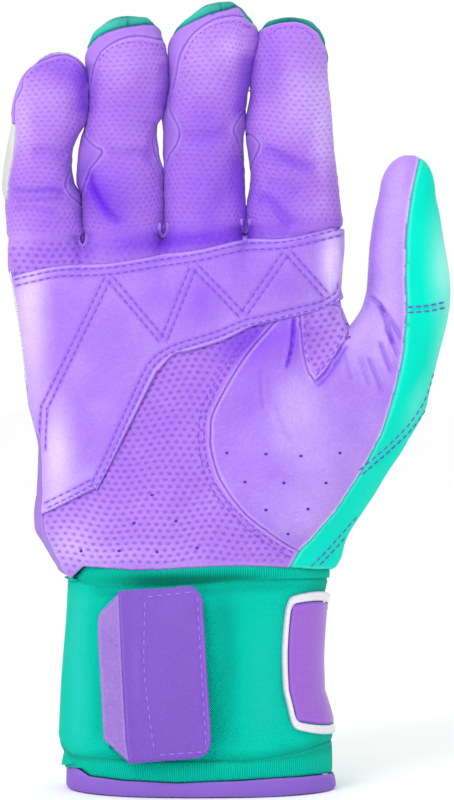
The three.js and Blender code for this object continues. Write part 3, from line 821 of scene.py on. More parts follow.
    def cut_out(self, name, faces, relief, corners=()):
        """Some faces of the shell, and corners cut from others, as an object of its own with its readings"""
        whole = [*self.quads[faces].tolist(), *corners]
        used = np.unique([point for face in whole for point in face])
        place = {point: i for i, point in enumerate(used.tolist())}
        mesh = bpy.data.meshes.new(name)
        mesh.from_pydata(relief.moved()[used].tolist(), [], [[place[point] for point in face] for face in whole])
        piece = bpy.data.objects.new(name, mesh)
        bpy.context.scene.collection.objects.link(piece)
        for reading, values in relief.readings().items():
            store(piece, reading, values[used])
        return piece

    def make_panels(self, bodies, relief):
        for number in panels_of(bodies):
            name, finish, wall = SKIN[PANELS[number]]
            piece = self.cut_out(name, self.panel == number, relief)
            thicken(piece, wall)
            dress(piece, finish, [PANELS[number]], BODIES[number], root_height(BODIES[number]))


# Traced outlines of the fingers: row and column of the left and right sides, and the top row
FINGER_LEFTS = {
    "pinky": [
        (64, 33), (76, 21.5), (88, 16.5), (100, 13), (112, 11), (124, 11.5), (136, 9), (148, 6.8), (160, 4.6),
        (172, 2.9), (184, 1.9), (192, 2.4), (200, 4.4), (208, 5), (220, 6),
    ],
    "ring": [
        (28, 97), (40, 90), (52, 86), (64, 85), (76, 86.6), (88, 87.6), (100, 87.6), (112, 87), (124, 85.4), (136, 81),
        (148, 78.5), (160, 77.5), (172, 76.5), (184, 76.3), (190, 78.5), (196, 80.5), (208, 81), (220, 81.5),
    ],
    "middle": [
        (16, 189), (28, 176), (40, 169.5), (52, 167.6), (64, 167.4), (76, 167.6), (88, 167.4), (100, 164.6),
        (112, 162.6), (120, 161.6), (124, 162.3), (148, 162.8), (166, 163.6), (172, 163.2), (196, 163), (220, 163),
    ],
    "index": [
        (28, 261), (40, 257), (52, 254), (64, 251.5), (76, 249.8), (84, 249.4), (92, 250), (100, 249), (112, 246.5),
        (124, 244.8), (136, 245.6), (148, 246.8), (160, 248.5), (172, 250.2), (184, 249.6), (196, 248), (208, 245.4),
        (220, 245),
    ],
}
FINGER_RIGHTS = {
    "pinky": [
        (64, 84.5), (76, 87.8), (88, 89.4), (100, 89.2), (112, 88.2), (124, 85.8), (136, 79), (148, 73.5),
        (160, 72.5), (172, 72.7), (184, 75.4), (190, 79.5), (196, 81.8), (208, 82.6), (220, 83),
    ],
    "ring": [
        (28, 159), (40, 163.5), (52, 167), (64, 168.6), (76, 169.2), (88, 168.8), (100, 166.8), (112, 164.4),
        (118, 162.6), (124, 158.5), (136, 157), (148, 158.8), (160, 161), (168, 163.6), (172, 164.4), (196, 164.6),
        (220, 164.6),
    ],
    "middle": [
        (16, 249), (28, 257.5), (40, 259.5), (52, 257), (64, 254), (76, 251.6), (84, 250.2), (92, 248.4), (100, 247.4),
        (112, 246), (124, 245.8), (136, 243.8), (148, 243.6), (160, 244.2), (172, 245), (196, 245.4), (208, 246.6),
        (220, 247),
    ],
    "index": [
        (28, 319), (40, 325), (52, 327.5), (76, 328), (88, 329), (100, 330.5), (112, 331.5), (124, 332.5), (148, 334),
        (160, 335.5), (172, 337), (184, 338.5), (196, 339.5), (208, 341), (220, 343),
    ],
}
FINGER_TOPS = {"pinky": 52, "ring": 16, "middle": 1.5, "index": 17.2}
HAND_LEFTS = [
    (250, 7.6), (262, 7.8), (270, 8.2), (280, 10), (290, 12), (304, 14.6), (316, 16.5), (328, 18.6), (340, 20.4),
    (350, 21.6), (366, 23.6), (386, 25.2), (404, 28), (422, 33), (440, 37), (458, 38), (476, 37.5), (494, 36.5),
    (512, 34), (530, 35), (548, 45), (555, 49.5), (560, 52.5),
]
HAND_RIGHTS = [
    (404, 427.5), (422, 419), (440, 409), (458, 397.5), (476, 386), (494, 375.5), (512, 364), (530, 351.5),
    (548, 344), (555, 342.5), (560, 341),
]
# Rows where the fit to these sides starts and is full, and where the fit to the lower edge starts
LEFT_START = (236, 252)
RIGHT_START = (395, 415)
FOOT_START = 525
# Row of the hand's lower edge at the back, and its traced columns and rows in front
HAND_BACK_FOOT = 568
HAND_FEET = [
    (40, 560), (56, 568), (63, 574), (72, 579), (84, 567), (133, 570.5), (160, 570), (210, 567), (240, 566), (289, 568),
    (313, 570), (332, 570), (345, 562),
]

# Traced borders on the hand: the thenar's left edge, the leather against the stretch cloth, and against the white back
THENAR_EDGE = [
    (281, 314), (274, 323), (243, 360), (214.5, 410), (210.6, 433), (211.6, 452), (221, 481), (243, 511.5),
    (266, 530.7), (287, 545), (300.5, 551.7),
]
CLOTH_EDGE = [
    (420, 158), (412, 194), (407, 231), (406, 263), (405.8, 280), (406.8, 309), (405, 335), (403, 356.5), (394.3, 395),
    (383, 431), (365.6, 465.6), (342.7, 502), (314, 536.4), (300.5, 550), (289, 569),
]
LEATHER_LEFT = [(6, 262), (9.5, 272), (14.3, 286.6), (18.7, 306), (22, 324), (23.5, 348), (24, 368)]

# Rows and columns between which faces of the hand are given to another panel
THENAR_ROWS = (313, 552)
TO_THENAR_COLUMN = 300
TO_PALM_COLUMN = 320
WHITE_ROWS = (240, 368)
SIDE_COLUMN = 100
SIDE_TOP_ROW = 270
KNUCKLE_FOOT_ROW = 266

# The little finger's outer side: its white back reaches in to this column, and forwards between these rows
PINKY_COLUMN = 40
PINKY_ROWS = (90, 124)

# Traced borders of the leather of each finger, and of the stretch cloth over its tip
LEATHER_OUTLINES = {
    "pinky": [
        (0, 244), (0, 202), (6, 200), (7.7, 183), (10, 170), (13, 154), (15, 132), (14, 122), (14, 112), (16, 100),
        (21, 90), (24, 77), (34, 65), (52, 57), (66, 55), (77, 61), (87, 72), (96, 84), (96, 110), (90, 128), (84, 138),
        (74, 146), (72, 163), (69, 174), (66, 185), (69, 193), (76, 200), (86, 212), (88, 244),
    ],
    "ring": [
        (78, 240), (80, 202), (84, 185), (88, 171), (97, 160), (102, 151.5), (95, 147), (86, 139), (84.5, 131),
        (87.5, 113), (89, 95), (91, 80), (95, 64), (103.5, 49.5), (119, 39.5), (136.5, 36), (154, 38.5), (172, 46),
        (176, 77), (170, 108), (159, 123), (154, 134), (153, 143), (155, 154), (163, 174), (168, 190), (168, 240),
    ],
    "middle": [
        (158, 234), (161, 220), (165, 175), (169, 156), (176, 145), (179, 132), (174, 119), (168, 106), (171.5, 92),
        (176, 75), (180.5, 55), (191.5, 35), (211, 20), (233, 15), (247, 17.5), (258, 24), (268, 34), (266, 53),
        (260, 70), (258, 95), (246, 110), (234, 127.5), (238, 141), (243, 158), (250, 180), (252, 234),
    ],
    "index": [
        (238, 233), (242, 209), (248, 187), (251, 167), (255, 156), (259.5, 145), (253, 136), (243, 130), (238, 110),
        (240, 86), (244, 66), (248, 42), (262, 27), (273, 22.8), (286, 20.4), (297, 20.4), (308, 24), (318.5, 32),
        (325, 43.5), (333, 56), (342, 70), (348, 105), (350, 143), (354, 187), (356, 233),
    ],
}
CLOTH_BORDERS = {
    "ring": [(80, 62), (91, 43), (99, 35), (110, 30.5), (123, 27), (136.5, 25), (149.5, 24), (158.5, 26.4), (174, 36)],
    "middle": [
        (162, 51), (171, 37), (178, 28.5), (187, 22.8), (198, 17), (211, 12.4), (224, 9), (233, 6.8), (238, 6.4),
        (244, 12.4), (251, 21), (258, 26), (266, 40),
    ],
    "index": [
        (256, 31), (273, 22.4), (286, 19.6), (297, 19.6), (308, 23), (318.5, 31), (325, 42.5), (331, 55), (339, 66),
    ],
}

# Pitch in pixels of the leather's dimples
PALM_DIMPLES = (8.4, 6.2)
FINGER_DIMPLES = (6.4, 4.7)

# Traced folds: places, width in pixels, depth in millimetres, tone of the painted shade in the fold, a painted
# highlight where negative
FOLDS = [
    ([(8, 189), (30, 192), (52, 190), (70, 194)], 2.4, 0.35, 0.3),
    ([(10, 210), (32, 209), (60, 213)], 2.4, 0.3, 0.25),
    ([(10, 200), (30, 201), (66, 199)], 2.0, 0.25, 0.2),
    ([(30, 156), (48, 152), (68, 158)], 5.0, 0.3, 0.2),
    ([(84, 60), (87, 76), (86, 98), (84, 118)], 7.0, 0.2, 0.35),
    ([(86, 166), (92, 190), (106, 212), (126, 226)], 4.0, 0.6, 0.3),
    ([(104, 151), (122, 155), (140, 152), (156, 160)], 4.0, 0.4, 0.2),
    ([(166, 60), (166, 90), (162, 112)], 5.0, 0.2, 0.3),
    ([(174, 134), (196, 138), (216, 136), (232, 128)], 6.0, 0.4, 0.2),
    ([(250, 50), (247, 78), (243, 104), (236, 120)], 7.0, 0.3, 0.45),
    ([(240, 150), (234, 178), (218, 206), (200, 226)], 10.0, 0.5, 0.2),
    ([(258, 148), (276, 153), (298, 164), (320, 169)], 4.0, 0.6, 0.25),
    ([(252, 198), (266, 200), (280, 213), (296, 228)], 4.5, 0.5, 0.25),
    ([(262, 182), (286, 186), (302, 196)], 6.0, 0.4, 0.15),
    ([(295, 314), (293.5, 330), (292, 348), (286, 372)], 1.7, 0.9, 0.9),
    ([(315, 387), (322, 380), (334, 364), (346, 342)], 2.4, 0.9, 0.9),
    ([(344.6, 351), (348.4, 366), (353, 382)], 1.8, 0.35, 0.12),
    ([(368, 294), (380, 306), (392, 322), (404, 342)], 2.0, 0.6, 0.3),
    ([(378, 300), (385, 318), (394, 347)], 1.8, 0.6, 0.5),
    ([(379, 338), (385, 355), (393, 374)], 1.8, 0.5, 0.35),
    ([(368, 354), (375, 372), (384, 394)], 1.8, 0.4, 0.25),
    ([(359, 352), (364, 368), (372, 388)], 2.0, 0.3, 0.1),
    ([(384, 326), (392, 340), (399, 358)], 1.6, 0.4, 0.25),
    ([(262, 366), (262, 392), (266, 412)], 2.0, 0.25, 0.1),
    ([(276, 400), (284, 424), (296, 444)], 3.0, 0.2, 0.05),
    ([(404, 310), (430, 308), (456, 303)], 2.2, 0.3, 0.2),
    ([(436, 368), (428, 400), (412, 427), (388, 452), (362, 476)], 2.6, 0.35, 0.2),
]

# Traced rises and painted shade: middle, radii in pixels, height in millimetres, tone of the painted shade, which is a
# painted highlight where negative, turn in degrees
RISES = [
    ((46, 100), (26, 30), 0.6, -0.15, 0),
    ((60, 72), (24, 12), 0.0, 0.45, 20),
    ((22, 120), (12, 40), 0.0, -0.4, 0),
    ((80, 98), (9, 34), 0.0, 0.3, 0),
    ((20, 232), (14, 34), 0.0, -0.3, 0),
    ((44, 192), (30, 14), 0.0, 0.3, 0),
    ((40, 226), (30, 14), 0.0, 0.25, 0),
    ((122, 72), (24, 24), 0.7, -0.12, 0),
    ((130, 112), (24, 26), 0.2, 0.1, 0),
    ((98, 194), (17, 36), 0.0, 0.55, -30),
    ((116, 198), (28, 40), 0.0, 0.3, -25),
    ((136, 190), (24, 34), 0.4, 0.2, 0),
    ((208, 62), (24, 30), 0.7, -0.2, 0),
    ((232, 46), (14, 18), 0.0, -0.4, 0),
    ((206, 118), (28, 18), 0.0, 0.3, 0),
    ((204, 184), (36, 54), 0.4, 0.4, 0),
    ((240, 190), (10, 50), 0.0, 0.35, 0),
    ((300, 100), (24, 40), 0.7, -0.4, 0),
    ((274, 60), (12, 34), 0.0, 0.3, 0),
    ((288, 160), (36, 16), 0.0, 0.35, 20),
    ((296, 190), (24, 14), 0.0, 0.25, 0),
    ((276, 208), (28, 18), 0.0, 0.4, 40),
    ((324, 130), (12, 60), 0.0, -0.6, 0),
    ((322, 206), (18, 16), 0.5, -0.15, 0),
    ((196, 240), (110, 13), 0.0, 0.75, -5),
    ((44, 254), (26, 12), 0.0, 0.2, 0),
    ((326, 316), (16, 26), 0.7, -0.1, 0),
    ((344, 316), (10, 20), 0.0, -0.5, 0),
    ((386, 240), (14, 70), 0.0, -0.3, 0),
    ((404, 200), (16, 60), 0.0, -0.3, -8),
    ((360, 330), (10, 30), 0.0, -0.3, 20),
    ((270, 350), (20, 40), 0.0, 0.3, 30),
    ((296, 340), (16, 26), 0.0, 0.3, 0),
    ((300, 404), (30, 34), 0.3, -0.2, 0),
    ((252, 424), (22, 40), 0.0, 0.2, 0),
    ((320, 470), (60, 60), 0.0, -0.2, 0),
    ((310, 520), (40, 24), 0.2, -0.15, 0),
    ((385, 330), (20, 60), 0.0, -0.25, 10),
    ((170, 420), (40, 50), -0.3, 0.1, 30),
    ((246, 342), (34, 18), 0.0, 0.75, -20),
    ((70, 540), (24, 24), 0.0, -0.5, 0),
    ((120, 556), (60, 12), 0.2, -0.35, 0),
]

# The same for the stretch cloth, whose tone starts anew: mostly painted highlights along its right edge, and a little
# painted shade
CLOTH_RISES = [
    ((447, 262), (13, 44), 0.0, -1.0, 0),
    ((446, 340), (9, 46), 0.0, -0.6, 12),
    ((418, 400), (8, 30), 0.0, -0.25, 20),
    ((414, 330), (9, 40), 0.0, 0.15, 0),
]


def shape_skin(skin):
    """Brings the shell to its traced outline and borders, and returns its relief"""
    skin.fit_outline()
    skin.fit_foot()
    skin.keep_plain()
    for finger in FINGER_ROOTS:
        skin.retrace(finger)
    skin.retrace_hand()
    skin.smooth_borders()
    relief = skin.relief()
    relief.roll_seams(0.9 * MM, 0.4 * MM)
    return relief


def pattern_skin(skin, relief):
    """Folds, rises and dimples of the leather, and the rolled cloth over the fingertips, with painted shade and
    highlights on them
    """
    relief.pucker()
    relief.uneven(0.13 * MM, 50, 11)
    relief.crease_all(FOLDS)
    relief.swell_all(RISES)
    # A painted highlight along the leather's edge against the stretch cloth
    relief.crease(CLOTH_EDGE, 1.2, 0.0, -1.0, ends=0)
    # The thumb's cloth drops the leather's painted shade and highlights and takes its own painted highlights
    relief.tone[skin.points_in(["thumb_outer_panel", "thumb_back"])] = 0
    relief.swell_all(CLOTH_RISES)
    for finger, line in CLOTH_BORDERS.items():
        gap, _, _ = line_distance(relief.column, relief.row, curve_through(line))
        cloth = skin.points_in([finger + "_back"])
        relief.raised += cloth * 0.7 * MM * bell(gap - 4, 3)
        # Painted shadow under the rolled cloth at its border, and a painted highlight on the roll
        relief.tone += cloth * (0.8 * bell(gap, 1.6) - 0.6 * bell(gap - 6, 3))
    palm = skin.points_in(["palm_panel", "web_wedge_panel", "index_side_gusset"])
    roots = sorted(((left + right) / 2, root) for root, left, right in FINGER_ROOTS.values())
    below = relief.row - read(roots, relief.column)
    relief.dimples(palm * smoothed(below, 1, 6), 0.2 * MM, PALM_DIMPLES)
    relief.dimpled *= 1 - 0.7 * smoothed(relief.column, 76, 100) * smoothed(-relief.row, -272, -262)
    for finger, (root, left, right) in FINGER_ROOTS.items():
        leather = skin.points_in([finger + "_front"]) & ~palm
        mask = leather * smoothed(root - relief.row, 2, 8)
        relief.dimples(mask, 0.0, FINGER_DIMPLES, 0.6, (left + right) / 2, (right - left) / 2)
        relief.wrap(skin.points_of([finger]), (right - left) / 2 * PIXEL)
    top, foot = curve_through(OVERLAY_TOP), curve_through(OVERLAY_FOOT)
    under = smoothed(relief.row - read(top, relief.column), 1.5, 4)
    under *= smoothed(read(foot, relief.column) - relief.row, 1.5, 4) * skin.points_of(["hand"]) * relief.facing
    relief.raised += under * (-0.45 * MM - relief.raised)
    skin.fit_outline(relief.normal * relief.raised[:, None])


# The overlay: its traced upper and lower border, and its rises with their painted shade and highlights as above
OVERLAY_TOP = [
    (-4, 289), (14, 277), (30, 272), (62, 266), (109, 264), (159, 256), (200, 250), (245, 240), (287, 238), (341, 225),
    (360, 220),
]
OVERLAY_FOOT = [
    (20, 524), (42, 515), (93, 490), (101, 484), (153, 380), (159, 371), (174, 355), (191, 351), (220, 342), (235, 335),
    (251, 327), (275, 321), (293, 317), (321, 310), (337, 302), (344, 296), (352, 288),
]
OVERLAY_RISES = [
    ((70, 330), (26, 34), 0.4, 0.1, 0),
    ((28, 300), (18, 60), 0.0, -0.7, 0),
    ((34, 380), (14, 50), 0.0, -0.35, 0),
    ((110, 330), (14, 30), 0.5, 0.1, 0),
    ((155, 292), (18, 16), 0.5, 0.3, 0),
    ((240, 275), (24, 22), 0.5, 0.25, 0),
    ((200, 298), (18, 24), 0.5, 0.6, 0),
    ((284, 284), (18, 14), 0.3, 0.3, 0),
    ((334, 265), (11, 34), 0.2, -1.2, 0),
    ((110, 420), (18, 40), 0.35, 0.0, 20),
    ((56, 450), (16, 50), 0.0, -0.7, 0),
    ((85, 480), (30, 14), 0.2, -0.2, -25),
    ((50, 508), (24, 12), 0.0, -0.3, -20),
    ((225, 328), (60, 8), 0.1, -0.1, -18),
]


def overlay_leather(skin):
    """The smooth overlay: the part of the shell between two traced borders, raised by its own thickness"""
    top, foot = curve_through(OVERLAY_TOP), curve_through(OVERLAY_FOOT)
    drawn = skin.draw_on_plain(top) | skin.draw_on_plain(foot)
    column, row = to_photo(skin.plain)
    past = (row < read(top, column)) | (row > read(foot, column))
    _, _, faces = skin.faces_seen(skin.plain)
    nodes = ("palm_panel", "web_wedge_panel", "index_side_gusset", "thenar_panel")
    faces &= np.isin(skin.panel, numbers_of(nodes))
    out = (past & ~drawn)[skin.quads]
    within = (~past & ~drawn)[skin.quads]
    corners = []
    for quad, kept in zip(skin.quads[faces & out.any(axis=1)], within[faces & out.any(axis=1)]):
        for i in np.flatnonzero(kept):
            corner = [quad[i - 1], quad[i], quad[(i + 1) % 4]]
            if kept.sum() == 1 and drawn[corner[0]] and drawn[corner[2]]:
                corners.append([int(point) for point in corner])
    flat = Relief(skin.plain, skin.plain_normal, np.full(len(skin.plain), 1.0))
    flat.raised += OVERLAY_LIFT
    piece = skin.cut_out("overlay_leather", faces & within.any(axis=1) & ~out.any(axis=1), flat, corners)
    snap_border(piece, curve_through(LEATHER_LEFT))
    relief = border_relief(piece)
    relief.roll_seams(0.55 * MM, 0.35 * MM)
    # Painted shade in the stitch grooves, and the rises' painted shade and highlights
    relief.groove(OVERLAY_STITCHES, 2.0, 0.3 * MM, 0.35)
    relief.uneven(0.13 * MM, 45, 61)
    relief.swell_all(OVERLAY_RISES)
    settle_relief(piece, relief)
    thicken(piece, OVERLAY_WALL)
    dress(piece, "smooth", ["palm_overlay"], "hand")


def snap_border(piece, line, reach=3.5):
    """Puts the border points of an open surface exactly on a traced line that runs close by"""
    place = vectors(piece.data.vertices, "co")
    cut = np.unique(open_edges(piece.data))
    column, row = to_photo(place[cut])
    scale = PIXEL * (1 + place[cut, 1] / CAMERA_BACK)
    gap, along, nearest = line_distance(column, row, line)
    close = (gap < reach) & (along > 0) & (along < 1)
    place[cut, 0] += np.where(close, (nearest[0] - column) * scale, 0)
    place[cut, 2] -= np.where(close, (nearest[1] - row) * scale, 0)
    put_points(piece.data, place)


# Materials


# Sockets of a Mix node in its colour mode: factor, first and second colour, result
MIX_INPUTS = (0, 6, 7)
MIX_OUTPUT = 2


def feed(tree, socket, value):
    """Links a socket to another one, or sets it to a constant"""
    if isinstance(value, bpy.types.NodeSocket):
        tree.links.new(value, socket)
    else:
        socket.default_value = value


def sums_in(tree):
    """Gives a function that adds a sum to this tree and returns its result"""

    def maths(operation, *values):
        node = tree.nodes.new("ShaderNodeMath")
        node.operation = operation
        for socket, value in zip(node.inputs, values):
            feed(tree, socket, value)
        return node.outputs[0]

    return maths


class Finish:
    """Builds one material's nodes"""

    def __init__(self, name, roughness, shine=0.25):
        self.material = bpy.data.materials.new(name)
        self.material.use_nodes = True
        self.tree = self.material.node_tree
        self.shader = next(node for node in self.tree.nodes if node.type == "BSDF_PRINCIPLED")
        self.give("Roughness", roughness)
        self.give("Specular IOR Level", shine)
        self.maths = sums_in(self.tree)
        self.place = self.add("ShaderNodeTexCoord").outputs["Object"]

    def give(self, name, value):
        """Links or sets one of the shader's sockets"""
        feed(self.tree, self.shader.inputs[name], value)

    def add(self, kind, settings=None, **inputs):
        node = self.tree.nodes.new(kind)
        for key, value in (settings or {}).items():
            setattr(node, key, value)
        for key, value in inputs.items():
            feed(self.tree, node.inputs[key], value)
        return node

    def group(self, name, **inputs):
        return self.add("ShaderNodeGroup", {"node_tree": GROUPS[name]}, **inputs).outputs

    def reading(self, name):
        return self.add("ShaderNodeAttribute", {"attribute_name": name}).outputs["Fac"]

    def mixed(self, share, first, second, blend="MIX"):
        node = self.add("ShaderNodeMix", {"data_type": "RGBA", "blend_type": blend})
        for number, value in zip(MIX_INPUTS, (share, first, second)):
            feed(self.tree, node.inputs[number], value)
        return node.outputs[MIX_OUTPUT]

    def bump(self, height, distance):
        self.give("Normal", self.add("ShaderNodeBump", Height=height, Distance=distance).outputs["Normal"])


def rgb(red, green, blue):
    """A linear colour from screen values of 0 to 255"""
    linear = []
    for value in (red, green, blue):
        share = value / 255
        linear.append(share / 12.92 if share <= 0.04045 else ((share + 0.055) / 1.055) ** 2.4)
    return (*linear, 1.0)


def new_group(name, inputs, outputs):
    """A node group. Its inputs are numbers with their defaults, and a place where the default is None"""
    tree = bpy.data.node_groups.new(name, "ShaderNodeTree")
    for label, value in inputs.items():
        kind = "NodeSocketVector" if value is None else "NodeSocketFloat"
        socket = tree.interface.new_socket(label, in_out="INPUT", socket_type=kind)
        if value is not None:
            socket.default_value = value
    for label in outputs:
        tree.interface.new_socket(label, in_out="OUTPUT", socket_type="NodeSocketFloat")
    return tree, tree.nodes.new("NodeGroupInput").outputs, tree.nodes.new("NodeGroupOutput").inputs


def noise_in(tree, place, scale, detail):
    noise = tree.nodes.new("ShaderNodeTexNoise")
    for name, value in (("Vector", place), ("Scale", scale), ("Detail", detail)):
        feed(tree, noise.inputs[name], value)
    return noise.outputs["Fac"]


def leather_grain():
    """Pebbled grain with fine creases, from a place and a scale"""
    tree, given, out = new_group("Leather grain", {"Vector": None, "Scale": 900.0}, ["Height", "Cells"])
    maths = sums_in(tree)
    cells = tree.nodes.new("ShaderNodeTexVoronoi")
    cells.feature = "SMOOTH_F1"
    for name, value in (("Vector", given["Vector"]), ("Scale", given["Scale"]), ("Smoothness", 0.6)):
        feed(tree, cells.inputs[name], value)
    creases = noise_in(tree, given["Vector"], maths("MULTIPLY", given["Scale"], 0.33), 4.0)
    tree.links.new(maths("ADD", cells.outputs["Distance"], creases), out["Height"])
    tree.links.new(cells.outputs["Distance"], out["Cells"])
    return tree


def knit_loops():
    """Rows of small loops, from a place across and up and the loops in a metre. With no rows it gives upright ribs"""
    inputs = {"Across": 0.0, "Up": 0.0, "Columns": 1600.0, "Rows": 1600.0, "Slant": 0.0}
    tree, given, out = new_group("Knit loops", inputs, ["Height", "Holes"])
    maths = sums_in(tree)
    up = maths("MULTIPLY", given["Up"], given["Rows"])
    across = maths("MULTIPLY", given["Across"], given["Columns"])
    across = maths("ADD", across, maths("MULTIPLY", up, given["Slant"]))
    columns = maths("SINE", maths("MULTIPLY", across, 2 * math.pi))
    rows = maths("COSINE", maths("MULTIPLY", up, 2 * math.pi))
    height = maths("MULTIPLY_ADD", maths("MULTIPLY", columns, rows), 0.5, 0.5)
    tree.links.new(height, out["Height"])
    tree.links.new(maths("POWER", maths("SUBTRACT", 1.0, height), 3.0), out["Holes"])
    return tree


def mottling():
    """Soft cloudy change over a few centimetres"""
    tree, given, out = new_group("Mottling", {"Vector": None, "Scale": 60.0}, ["Cloud"])
    tree.links.new(noise_in(tree, given["Vector"], given["Scale"], 3.0), out["Cloud"])
    return tree


def oval_dimples():
    """Staggered oval pits, from two numbers that grow by one from pit to pit"""
    tree, given, out = new_group("Oval dimples", {"Across": 0.0, "Down": 0.0}, ["Pit"])
    maths = sums_in(tree)
    line = maths("FLOOR", given["Down"])
    stagger = maths("MULTIPLY", maths("FLOORED_MODULO", line, 2.0), 0.5)
    across = maths("SUBTRACT", maths("FRACT", maths("ADD", given["Across"], stagger)), 0.5)
    down = maths("SUBTRACT", maths("FRACT", given["Down"]), 0.5)
    spread = maths("ADD", maths("MULTIPLY", across, across), maths("MULTIPLY", down, down))
    tree.links.new(maths("EXPONENT", maths("MULTIPLY", spread, -16.0)), out["Pit"])
    return tree


GROUPS = {}
FINISHES = {}
MADE = {}
SEAM_COLOUR = rgb(96, 40, 190)

# Finishes. Each has its slot, its name, its middle, deep and pale colours (screen values or the name of a setting) and
# what else differs from the usual. Painted shade reaches the deep colour and painted highlights the pale one, as the
# mottling does; a leather's pit colour is painted shade in its dimples. Cloth also has its loops in a metre across and
# up and its relief in millimetres
LEATHERS = {
    "dimpled": (
        "dimpled_leather", "Dimpled leather", "leather", "leather_deep", (214, 184, 248),
        {"roughness": 0.48, "pit": (122, 62, 214), "grain": 0.11},
    ),
    "smooth": ("smooth_leather", "Smooth leather", "overlay", (126, 66, 220), (222, 200, 248), {}),
    "tab": (
        "rubber_trim", "Tab", (118, 78, 181), (104, 64, 170), (150, 112, 214),
        {"roughness": 0.5, "grain": 0.04, "sheen": 0.0, "seam": 0.3},
    ),
    "lip": (
        "rubber_trim", "Pull lip", (145, 111, 194), (112, 72, 178), (186, 154, 228),
        {"grain": 0.22, "sheen": 0.0, "seam": 0.3},
    ),
    "rubber": (
        "rubber_trim", "Moulded rubber", (150, 92, 200), (120, 66, 178), (176, 124, 216),
        {"roughness": 0.38, "grain": 0.02},
    ),
    "rubber_white": (
        "rubber_white", "Pale rubber", (222, 222, 226), (190, 190, 196), (236, 236, 238),
        {"roughness": 0.4, "grain": 0.02, "seam": 0.3},
    ),
}
CLOTHS = {
    "trim": (
        "dark_trim", "Smooth trim", (158, 116, 210), (96, 50, 180), (190, 156, 240), (2200.0, 2200.0), 0.02,
        {"roughness": 0.5, "holes": 0.05},
    ),
    "hem": (
        "dark_trim", "Hem trim", (133, 95, 192), (96, 58, 164), (170, 134, 224), (2200.0, 2200.0), 0.02,
        {"roughness": 0.5, "holes": 0.05},
    ),
    "mint": (
        "stretch_mint", "Stretch cloth", "mint", (0, 160, 136), (150, 236, 224), (2100.0, 1500.0), 0.05,
        {"holes": 0.12, "spread": 0.1},
    ),
    "tip": (
        "stretch_mint", "Ribbed stretch", (56, 208, 190), (0, 130, 116), (120, 232, 218), (1500.0, 0.0), 0.3,
        {"roughness": 0.8, "slant": 0.3, "holes": 0.45},
    ),
    "ribbed": (
        "ribbed_mint", "Ribbed binding", (0, 206, 178), (0, 124, 102), (40, 220, 198), (1400.0, 0.0), 0.3,
        {"roughness": 0.8, "slant": 0.0, "holes": 0.5},
    ),
    "mesh": (
        "stretch_mint", "Strap mesh", (0, 234, 206), (0, 140, 118), (50, 236, 220), (1350.0, 1350.0), 0.5,
        {"roughness": 0.7, "slant": 0.0, "holes": 0.7, "spread": 0.2},
    ),
    "white": (
        "knit_white", "Open knit", (222, 224, 224), (150, 152, 156), (240, 240, 240), (900.0, 900.0), 0.4,
        {"roughness": 0.85, "holes": 0.5},
    ),
    "side": (
        "side_knit", "Side knit", (158, 124, 206), (104, 72, 164), (184, 156, 226), (1700.0, 1700.0), 0.1,
        {"roughness": 0.8},
    ),
    "hook": (
        "hook_pile", "Hook tape", (58, 63, 61), (30, 32, 31), (80, 84, 82), (900.0, 900.0), 0.4, {"roughness": 0.95},
    ),
    "loop": (
        "loop_pile", "Loop tape", (0, 180, 156), (0, 130, 110), (80, 214, 196), (1200.0, 1200.0), 0.4,
        {"roughness": 0.95},
    ),
}
THREADS = {
    "leather_thread": ("smooth_leather", "Leather thread", (136, 82, 222)),
    "mint_thread": ("stretch_mint", "Cloth thread", (104, 98, 196)),
    "tab_thread": ("rubber_trim", "Tab thread", (166, 118, 246)),
    # The holes' dark colour is painted shade
    "hole": ("smooth_leather", "Hole", (84, 36, 170)),
}


def toned(made, spread, mid, deep, pale):
    """The cloudy mottling with the painted shade and highlights added, and the colour that they give between deep,
    middle and pale
    """
    cloud = made.group("mottle", Vector=made.place, Scale=55.0)["Cloud"]
    tone = made.maths("MULTIPLY_ADD", made.maths("SUBTRACT", cloud, 0.5), spread, made.reading("tone"))
    colour = made.mixed(made.maths("MAXIMUM", tone, 0.0), mid, deep)
    return cloud, made.mixed(made.maths("MAXIMUM", made.maths("MULTIPLY", tone, -1.0), 0.0), colour, pale)


def leather_finish(name, mid, deep, pale, roughness=0.42, pit=None, grain=0.08, sheen=0.1, seam=0.5):
    """Leather: painted shade deepens its colour in folds and pits, painted highlights pale it, its rolled edges get a
    painted highlight and its seams are dark, with grain and a fine crumple
    """
    made = Finish(name, roughness)
    made.give("Sheen Weight", sheen)
    made.give("Sheen Roughness", 0.4)
    fine = made.group("grain", Vector=made.place, Scale=1500.0)
    crumple = made.group("mottle", Vector=made.place, Scale=260.0)["Cloud"]
    cloud, colour = toned(made, 0.5, mid, deep, pale)
    height = made.maths("MULTIPLY_ADD", crumple, 5.0, fine["Height"])
    if pit:
        oval = made.group("dimples", Across=made.reading("dimple_u"), Down=made.reading("dimple_v"))["Pit"]
        pits = made.maths("MULTIPLY", oval, made.reading("dimpled"))
        # Painted shade in the dimples
        colour = made.mixed(made.maths("MULTIPLY", pits, 0.75), colour, rgb(*pit))
        height = made.maths("MULTIPLY_ADD", pits, -2.5, height)
    # A painted highlight along the rolled edges
    colour = made.mixed(made.maths("MULTIPLY", made.reading("rim"), 0.25), colour, pale)
    colour = made.mixed(made.maths("MULTIPLY", made.reading("line"), seam), colour, SEAM_COLOUR)
    shade = made.maths("MULTIPLY_ADD", fine["Cells"], 0.18, 0.88)
    grey = made.add("ShaderNodeCombineColor", Red=shade, Green=shade, Blue=shade).outputs[0]
    made.give("Base Color", made.mixed(1.0, colour, grey, "MULTIPLY"))
    made.give("Roughness", made.maths("MULTIPLY_ADD", cloud, 0.2, roughness - 0.1))
    made.bump(height, grain * MM)
    return made.material


